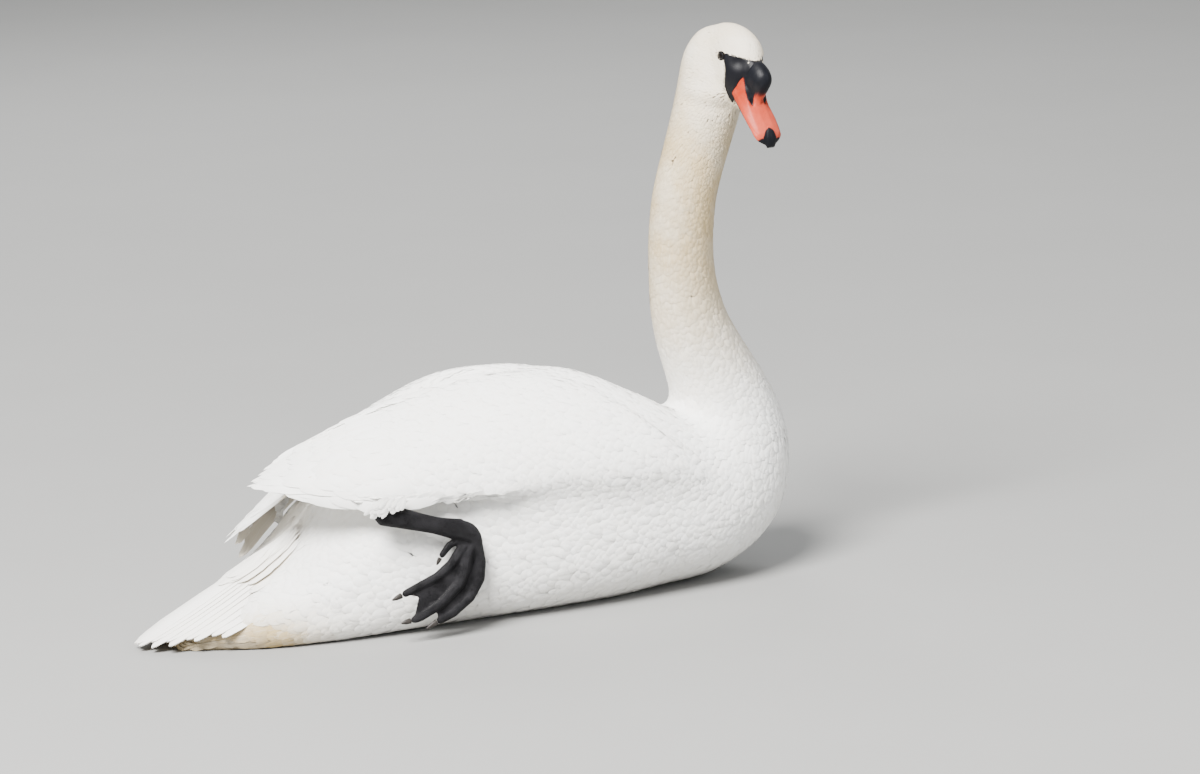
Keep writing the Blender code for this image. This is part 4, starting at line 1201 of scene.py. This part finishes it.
def make_bill(material, dark):
    """Upper mandible, knob and nail as one piece of horn, and the lower mandible."""
    rows, columns = FINE
    plain = horn_points()
    ends = [[BILL_END + BILL_CAP, 0, AXIS_Z[-1]], [BILL_START, 0, AXIS_Z[0]]]
    p = np.vstack([carved(plain), ends])
    tip, last = len(plain), (rows - 1) * columns
    k = np.arange(columns)
    after = (k + 1) % columns
    caps = [np.stack([last + k, np.full(columns, tip), last + after], axis=1),
            np.stack([k, after, np.full(columns, tip + 1)], axis=1)]
    tri = np.concatenate([halved(band(rows, columns)), *caps])
    obj = mesh_object("bill", from_bill(p), tri[:, ::-1])
    black = soft_edged(bill_black(np.vstack([plain, ends])), tri)
    point_values(obj, black=black, warm=smooth_step(p[:, 0], 0.035, 0.100))
    settle(obj, "orange_bill", material, stands_for=HORN)
    jaw = mesh_object("bill_lower_mandible", *limb_surface(("bill_lower",), JAW_VOXEL))
    settle(jaw, "black_horn", dark, stands_for=("bill_lower",))


# ------------------------------------------------------------------ eyes, lids and claws
LID_RING, LID_SLIT = 0.10, 0.16            # rim beyond the opening; how much lower than long it is
LID_THICK, LID_SWELL, LID_FLAT, LID_LIFT = 0.00095, 0.25, 0.8, 0.0001
LID_TILT_DEG = -14


def make_eyes(eye_material, lid_material):
    for tag, centre in EYES.items():
        side = 1 if tag == "left" else -1
        radius = eye_radius(tag)
        ball, tri = round_ball(28, 44)
        co = centre + (ball[:, [1, 0, 2]] * [1, side, 1]) @ HEAD_AXES * radius
        obj = mesh_object("eyeball_" + tag, co, tri if side < 0 else tri[:, ::-1])
        settle(obj, "eye", eye_material, stands_for=("eye_" + tag,))
        make_lid("eyelid_" + tag, centre, side, radius, lid_material)


def make_lid(name, centre, side, radius, material):
    """Swollen rim of bare skin round the almond opening of the eye."""
    around, section = 64, 12
    a = np.arange(around) * 2 * np.pi / around
    b = np.arange(section) * 2 * np.pi / section
    ring = radius * (LID_REACH + LID_RING) * (1 - LID_SLIT * np.abs(np.sin(a)) ** 1.5)
    out = np.sqrt(np.maximum(radius**2 - ring**2, 0)) + LID_LIFT
    thick = LID_THICK * (1 + LID_SWELL * np.sin(a))
    spread = ring[:, None] + np.cos(b) * thick[:, None]
    lift = out[:, None] + np.sin(b) * thick[:, None] * LID_FLAT
    tilt = math.radians(LID_TILT_DEG)
    x = spread * np.cos(a)[:, None]
    z = spread * np.sin(a)[:, None]
    local = np.stack([x * math.cos(tilt) - z * math.sin(tilt), side * lift,
                      x * math.sin(tilt) + z * math.cos(tilt)], 2)
    quads = band(around, section, closed=True)
    obj = mesh_object(name, centre + local.reshape(-1, 3) @ HEAD_AXES, quads if side > 0 else quads[:, ::-1])
    settle(obj, "black_horn", material)


def make_claws(material):
    for name in sorted(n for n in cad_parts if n.startswith("claw_")):
        obj = mesh_object(name + "_horn", *limb_surface((name,), CLAW_VOXEL))
        settle(obj, "claw_horn", material, stands_for=(name,))


# ------------------------------------------------------------------ tail
NEAT = 0.03                   # raggedness of flight feathers and their coverts
COVERT_THICK = 0.0006
TAIL_PAIRS = 9
TAIL_SPREAD = 0.93            # outermost feather's tip, as a share of the solid's half width
TAIL_LOWEST, TAIL_UNDERSIDE = 0.0014, 0.0012
TAIL_SINK = 0.012             # roots lie this far ahead of the solid's front, and more to the sides
ROOT_SPREAD = 0.62            # how far out the roots are, as a share of the tips
SEARCH_FIRST, SEARCH_END, SEARCH_STEP = 0.004, 0.12, 0.003     # looking for the solid's rear edge
QUILL_HALF, QUILL_TAPER = 0.0145, 0.003
TAIL_ROLL = 0.42              # lean of the outermost feathers
TAIL_COVERTS = ((0.020, 0.085, 13), (0.004, 0.070, 12), (-0.012, 0.055, 11))   # place, length, count
COVERT_HALF, COVERT_SPREAD, COVERT_STEP = 0.010, 0.92, 0.0012
TAIL_LEVEL, COVERT_LEVEL, WING_LEVEL, TUFT_LEVEL = 0.93, 0.88, 0.80, 0.6       # on the bake map


def top_of(tree, x, y):
    """The highest place of a solid at x and y, or None."""
    return tree.ray_cast(Vector((x, y, 1.0)), Vector((0, 0, -1)))[0]


def skyward(ahead):
    """Directions square to the feathers and to the bird's width, turned up."""
    up = unit(np.cross(ahead, [0.0, 1.0, 0.0]))
    return np.where(up[..., 2:] < 0, -up, up)


def laid(spine, up, ahead, level, shape):
    """Feathers on given spines."""
    return dict(spine=spine, up=up, ahead=ahead, phi=np.full(len(spine), level), root=spine[:, 0],
                shape=shape)


def make_tail(body, material):
    """The fan of tail feathers, lying on the tail's solid, and the coverts over its root."""
    low, high = (np.array(c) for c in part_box("tail"))
    tree = tree_of(*node_arrays("tail"))
    middle_y, half = (low[1] + high[1]) / 2, (high[1] - low[1]) / 2
    shares = np.arange(-TAIL_PAIRS, TAIL_PAIRS + 1) / TAIL_PAIRS
    spine = []
    for v in shares:
        y_tip = middle_y + v * half * TAIL_SPREAD
        reach = low[0] + SEARCH_FIRST
        while reach < low[0] + SEARCH_END and top_of(tree, reach, y_tip) is None:
            reach += SEARCH_STEP
        start = high[0] - TAIL_SINK - TAIL_SINK * abs(v)
        line = []
        for s in stops_of("quill"):
            x = start + (reach + 0.003 - start) * s
            y = middle_y + (y_tip - middle_y) * (ROOT_SPREAD + (1 - ROOT_SPREAD) * s)
            hit = top_of(tree, x, y)
            if hit is not None:
                z = hit.z
            else:
                z = line[-1][2] + (line[-1][2] - line[-2][2]) * 0.8 if len(line) > 1 else low[2] + 0.004
            line.append([x, y, max(z, 0.0022)])
        spine.append(line)
    spine = np.array(spine)
    spine[..., 2] += (0.0002 - 0.0011 * np.abs(shares))[:, None]
    spine[..., 2] = np.maximum(spine[..., 2], TAIL_LOWEST)
    ahead = unit(np.gradient(spine, axis=1))
    roll = np.linspace(-TAIL_ROLL, TAIL_ROLL, len(spine))[:, None, None]
    up = along_face(unit(skyward(ahead) + np.array([0.0, 1.0, 0.0]) * roll), ahead)
    widths = QUILL_HALF - QUILL_TAPER * np.abs(shares)
    made = Vanes(body)
    run = laid(spine, up, ahead, TAIL_LEVEL, "quill")
    made.add(run, widths, 0.0007, 0.06, NEAT)
    made.add(dict(run, spine=spine + up * -TAIL_UNDERSIDE), widths * 0.98, 0.0003, 0.02, NEAT)
    grow_tail_coverts(made, tree, low, high)
    # the tail feathers' undersides get painted shade
    made.build("tail_feathers", material, "white_plumage", tail_cream, 0.7)


def grow_tail_coverts(made, tree, low, high):
    """Rows of shorter feathers lapping the roots of the tail feathers."""
    middle_y, half = (low[1] + high[1]) / 2, (high[1] - low[1]) / 2
    spine = []
    for row, (front, length, count) in enumerate(TAIL_COVERTS):
        for k in range(count):
            v = ((k + 0.5 * (row % 2)) / (count - 1) * 2 - 1) * COVERT_SPREAD
            start = high[0] - 0.035 + front * 0.9 + 0.01 * abs(v)
            span = length * (1 - 0.35 * v * v) * (1 + 0.08 * RNG.normal())
            line = []
            for s in stops_of("covert"):
                x = start - span * s
                y = middle_y + v * half * (0.60 + 0.15 * s)
                hit = top_of(tree, x, y)
                z = hit.z if hit is not None else (line[-1][2] - 0.006 if line else high[2] - 0.01)
                line.append([x, y, z + COVERT_STEP + COVERT_STEP * row - 0.002 * (1 - s)])
            spine.append(line)
    spine = np.array(spine)
    ahead = unit(np.gradient(spine, axis=1))
    run = laid(spine, skyward(ahead), ahead, COVERT_LEVEL, "covert")
    made.add(run, np.full(len(spine), COVERT_HALF), COVERT_THICK, 0.10)


def tail_cream(points):
    return np.full(len(points), 0.10)


# ------------------------------------------------------------------ wings
WING_END = 0.045              # the sheet's lower edge is carried on straight behind this
WING_FAR, WING_DEEP = 0.4, 0.385           # looking in at the centre from here, as deep as this


class WingSheet:
    """Outer face of a folded wing: x along the body and an angle from its lower edge up to the back."""

    def __init__(self, name):
        self.side = -1.0 if name.endswith("right") else 1.0
        co, tri = node_arrays(name)
        self.tree = tree_of(co, tri)
        low, high = co.min(0), co.max(0)
        self.x = np.linspace(0.10, low[0] + 0.001, 66)
        self.angle = np.radians(np.linspace(-4.0, 88.0, 47))
        self.find_floor(low, high)
        middle_y = (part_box("wing_right")[0].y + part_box("wing_left")[1].y) / 2
        self.grid = np.full((len(self.x), len(self.angle), 3), np.nan)
        for (i, x), (j, a) in itertools.product(enumerate(self.x), enumerate(self.angle)):
            ray = np.array([0.0, self.side * math.cos(a), math.sin(a)])
            centre = np.array([x, middle_y, self.floor[i]])
            hit = self.tree.ray_cast(Vector(centre + ray * WING_FAR), Vector(-ray), WING_DEEP)[0]
            if hit is not None:
                self.grid[i, j] = hit
        self.find_rear()

    def find_floor(self, low, high):
        """Height of the wing's lower edge along the body."""
        inward = Vector((0.0, -self.side, 0.0))
        lowest = np.full(len(self.x), np.nan)
        for i, x in enumerate(self.x):
            for z in np.arange(low[2] + 0.001, high[2], 0.003):
                if self.tree.ray_cast(Vector((x, self.side * 0.5, z)), inward)[0] is not None:
                    lowest[i] = z
                    break
        beyond = self.x < low[0] + WING_END
        sure = ~np.isnan(lowest) & (self.x > low[0] + WING_END)
        self.floor = np.polyval(np.polyfit(self.x[sure], lowest[sure], 3), self.x)
        edge = np.flatnonzero(~beyond)[-1]
        slope = (self.floor[edge] - self.floor[edge - 6]) / (self.x[edge] - self.x[edge - 6])
        self.floor[beyond] = self.floor[edge] + slope * (self.x[beyond] - self.x[edge])

    def find_rear(self):
        """Rear edge at each angle; the face is carried on straight behind it."""
        found = ~np.isnan(self.grid[..., 0])
        self.rear = np.full(len(self.angle), np.nan)
        for j in range(len(self.angle)):
            rows = np.flatnonzero(found[:, j])
            if len(rows) < 12:
                continue
            last = rows[-1]
            self.rear[j] = self.x[last]
            line = self.grid[:, j]
            for axis in (1, 2):
                line[:, axis] = np.interp(np.arange(len(self.x)), rows, line[rows, axis])
            slope = (line[last - 1, 1:] - line[last - 7, 1:]) / (self.x[last - 1] - self.x[last - 7])
            line[last:, 1:] = line[last - 1, 1:] + slope * (self.x[last:] - self.x[last - 1])[:, None]
            line[:, 0] = self.x
        good = np.flatnonzero(~np.isnan(self.rear))
        self.first, self.last = self.angle[good[0]], self.angle[good[-1]]
        for j in np.flatnonzero(np.isnan(self.rear)):
            near = good[np.abs(good - j).argmin()]
            self.rear[j] = self.rear[near]
            self.grid[:, j] = self.grid[:, near]
        self.grid = blur_along(self.grid, 3)

    def at(self, x, angle):
        """Points of the face, bilinear in x and angle."""
        fi = np.interp(-x, -self.x, np.arange(len(self.x)))
        fj = np.interp(angle, self.angle, np.arange(len(self.angle)))
        i = np.clip(fi.astype(int), 0, len(self.x) - 2)
        j = np.clip(fj.astype(int), 0, len(self.angle) - 2)
        s, t = (fi - i)[..., None], (fj - j)[..., None]
        g = self.grid
        one = g[i, j] * (1 - s) + g[i + 1, j] * s
        two = g[i, j + 1] * (1 - s) + g[i + 1, j + 1] * s
        point = one * (1 - t) + two * t
        extra = np.minimum(x - self.x[-1], 0)[..., None]
        return point + (g[-1, j] - g[-5, j]) / (self.x[-1] - self.x[-5]) * extra

    def normal(self, x, angle):
        forward = self.at(x + 0.004, angle) - self.at(x - 0.004, angle)
        upward = self.at(x, angle + 0.05) - self.at(x, angle - 0.05)
        out = unit(np.cross(forward, upward))
        return out * np.sign(out[..., 1:2] * self.side + out[..., 2:3])


# tips behind the rear edge (+) or ahead of it (-), length, feathers across, lift, shape
WING_LAYERS = (
    (0.002, 0.160, 17, -0.0016, "quill"),
    (-0.004, 0.150, 15, -0.0008, "quill"),
    (-0.026, 0.115, 15, 0.0000, "quill"),
    (-0.048, 0.090, 17, 0.0004, "covert"),
    (-0.068, 0.075, 19, 0.0007, "covert"),
    (-0.086, 0.065, 21, 0.0009, "covert"),
)
WING_FEATHER_ZONE = 0.055     # how far ahead of the trimmed margin these feathers take over
ARC_STEP, ARC_STOP = 0.02, 5  # small angle and place on the vane for measuring the room between vanes
PLACE_SPREAD, TIP_SPREAD, SPAN_SPREAD = 0.25, 0.0035, 0.05     # between one feather and the next
FAN = 0.05                    # how far the roots gather towards the middle of the row, as an angle
TIP_LIFT, ROOT_DIP = 0.0005, 0.0022
LEAST_HALF, MOST_HALF = 0.0055, 0.0135


def grow_wing(body, name, material):
    """Flight feathers to the ragged rear edge, and rows of coverts over them."""
    sheet = WingSheet(name)
    made = Vanes(body)
    for behind, length, count, lift, shape in WING_LAYERS:
        to_tip = 1 - stops_of(shape)[None, :]
        v = (np.arange(count) + 0.5 + PLACE_SPREAD * RNG.normal(size=count)) / count
        angle = sheet.first + np.clip(v, 0.0, 1.0) * (sheet.last - sheet.first)
        rear = np.interp(angle, sheet.angle, sheet.rear)
        tip = rear - behind - TIP_SPREAD * RNG.normal(size=count)
        span = length * np.exp(SPAN_SPREAD * RNG.normal(size=count))
        x = tip[:, None] + span[:, None] * to_tip
        turned = angle[:, None] + FAN * to_tip * (0.5 - v[:, None])
        up = sheet.normal(x, turned)
        height = lift + TIP_LIFT * stops_of(shape)[None, :] ** 2 - ROOT_DIP * to_tip**1.5
        spine = sheet.at(x, turned) + up * height[..., None]
        ahead = unit(np.gradient(spine, axis=1))
        x, turned = x[:, ARC_STOP], turned[:, ARC_STOP]
        arc = np.linalg.norm(sheet.at(x, turned + ARC_STEP) - sheet.at(x, turned), axis=1)
        gap = arc / ARC_STEP * (sheet.last - sheet.first) / count
        half = np.clip(gap * 0.95 + 0.002, LEAST_HALF, MOST_HALF)
        run = laid(spine, along_face(up, ahead), ahead, WING_LEVEL, shape)
        made.add(run, half, COVERT_THICK, 0.05, NEAT)
    # the wing feathers' undersides get painted shade
    made.build(name + "_feathers", material, "white_plumage", cream_and_shade_of, 0.45)


TUFT_FEATHERS = 60


def grow_hock_tuft(body, material):
    """Loose feathers under the wing's edge, over the top of the raised right tarsus."""
    co, _ = node_arrays("tarsus_right")
    far = np.linalg.norm(co - middle("foot_right"), axis=1)
    hock = co[far > far.max() - 0.012].mean(0)
    outward = np.array([0.0, -1.0, 0.0])
    stops = stops_of("covert")
    n = TUFT_FEATHERS
    drop = unit(np.array([-0.80, 0.0, -0.55]) + 0.18 * RNG.normal(size=(n, 3)) * [1, 0.3, 0.3])
    root = hock + np.stack([RNG.uniform(-0.002, 0.030, n), np.zeros(n), RNG.uniform(0.008, 0.015, n)], 1)
    span = RNG.uniform(0.013, 0.024, n)
    spine = root[:, None] + drop[:, None] * (span[:, None] * stops)[..., None]
    stand = -co[:, 1].min() + 0.0010 + 0.0015 * RNG.random((n, 1)) - 0.006 * (1 - stops) ** 1.5
    spine[..., 1] = -stand
    ahead = unit(np.gradient(spine, axis=1))
    up = unit(outward - ahead * (ahead @ outward)[..., None])
    made = Vanes(body)
    made.add(laid(spine, up, ahead, TUFT_LEVEL, "covert"), RNG.uniform(0.0020, 0.0036, n), 0.0002, 0.04)
    # the tuft's undersides get painted shade
    made.build("hock_tuft", material, "white_plumage", cream_and_shade_of, 0.2)


def in_wing_zone(places):
    """True at places on the outer surface that the wings' own feathers cover."""
    out = np.zeros(len(places), bool)
    for name in WINGS:
        co, tri = node_arrays(name)
        tree = tree_of(co, tri)
        near = places[:, 0] < co[:, 0].min() + WING_TRIM[name] + WING_FEATHER_ZONE
        for i in np.flatnonzero(near):
            out[i] |= tree.find_nearest(Vector(places[i]), 0.0045)[0] is not None
    return out


# ------------------------------------------------------------------ stage and camera
CAMERA_AZIMUTH, CAMERA_ELEVATION, CAMERA_ROLL = -24.0, 11.5, 2.2
CAMERA_DISTANCE, LENS, SENSOR = 6.0, 162.5, 36.0
AIM = (0.39756, -0.32774, 0.37505)     # share of half length, half width and full height
FLOOR_HALF = 30.0
# name, place, target, size, power, colour
LIGHTS = (
    ("key", (-2.6, -2.4, 4.2), (0.0, 0.0, 0.2), 2.6, 1350.0, (1.0, 0.985, 0.96)),
    ("fill", (3.2, -3.6, 2.2), (0.1, 0.0, 0.25), 3.0, 60.0, (0.95, 0.97, 1.0)),
    ("back", (1.0, 4.0, 3.0), (0.0, 0.0, 0.25), 2.5, 140.0, (1.0, 1.0, 1.0)),
)


def area_light(name, place, target, size, power, colour):
    data = bpy.data.lights.new(name, "AREA")
    data.shape = "DISK"
    data.size = size
    data.energy = power
    data.color = colour
    obj = bpy.data.objects.new(name, data)
    obj.location = place
    obj.rotation_euler = (Vector(target) - Vector(place)).to_track_quat("-Z", "Y").to_euler()
    bpy.context.scene.collection.objects.link(obj)


def make_stage():
    corners = [(-1, -1, 0), (1, -1, 0), (1, 1, 0), (-1, 1, 0)]
    floor = mesh_object("studio_floor", FLOOR_HALF * np.array(corners, float), np.array([[0, 1, 2, 3]]))
    floor.data.materials.append(plain_material("floor_paint", (0.27, 0.27, 0.265), (0.29, 0.29, 0.285),
                                               0.9, 3.0, 0.0))
    world = bpy.data.worlds.new("studio")
    world.use_nodes = True
    sky = next(n for n in world.node_tree.nodes if n.type == "BACKGROUND")
    sky.inputs["Color"].default_value = (0.95, 0.97, 0.98, 1.0)
    sky.inputs["Strength"].default_value = 0.72
    bpy.context.scene.world = world
    for light in LIGHTS:
        area_light(*light)


def make_camera():
    """The photo's camera: its angle, roll and framing."""
    low, high = (Vector(c) for c in SIZE_BEFORE)
    half = (high - low) / 2
    target = (low + high) / 2
    target.x += AIM[0] * half.x
    target.y += AIM[1] * half.y
    target.z = low.z + AIM[2] * (high.z - low.z)
    a, e = math.radians(CAMERA_AZIMUTH), math.radians(CAMERA_ELEVATION)
    back = Vector((math.sin(a) * math.cos(e), -math.cos(a) * math.cos(e), math.sin(e)))
    data = bpy.data.cameras.new("photo")
    data.lens, data.sensor_width = LENS, SENSOR
    data.clip_start, data.clip_end = 0.1, 100.0
    obj = bpy.data.objects.new("photo", data)
    bpy.context.scene.collection.objects.link(obj)
    obj.location = target + back * CAMERA_DISTANCE
    obj.rotation_mode = "QUATERNION"
    roll = Matrix.Rotation(-math.radians(CAMERA_ROLL), 4, "Z").to_quaternion()
    obj.rotation_quaternion = (-back).to_track_quat("-Z", "Y") @ roll
    bpy.context.scene.camera = obj


# ------------------------------------------------------------------ assembly
def main():
    body = Body()
    plumage = feather_material("white_feathers")
    flight = feather_material("flight_feathers", 160.0)
    make_skin(body, skin_material("swan_skin"), foot_material("leather"))
    grow_tracts(body, plumage)
    for name in WINGS:
        grow_wing(body, name, flight)
    make_tail(body, flight)
    grow_hock_tuft(body, plumage)
    make_bill(bill_material("bill_horn"),
              plain_material("jaw_horn", (0.010, 0.010, 0.013), (0.03, 0.03, 0.034), 0.35, 500.0))
    make_eyes(plain_material("eye_brown", (0.0020, 0.0013, 0.0010), (0.0060, 0.0034, 0.0024), 0.16, 300.0,
                             0.0, 0.08),
              plain_material("lid_skin", (0.0010, 0.0010, 0.0015), (0.0040, 0.0040, 0.0055), 0.70, 900.0))
    make_claws(plain_material("claw_horn", (0.006, 0.0055, 0.0055), (0.050, 0.044, 0.040), 0.35, 90.0))
    make_stage()
    make_camera()


main()
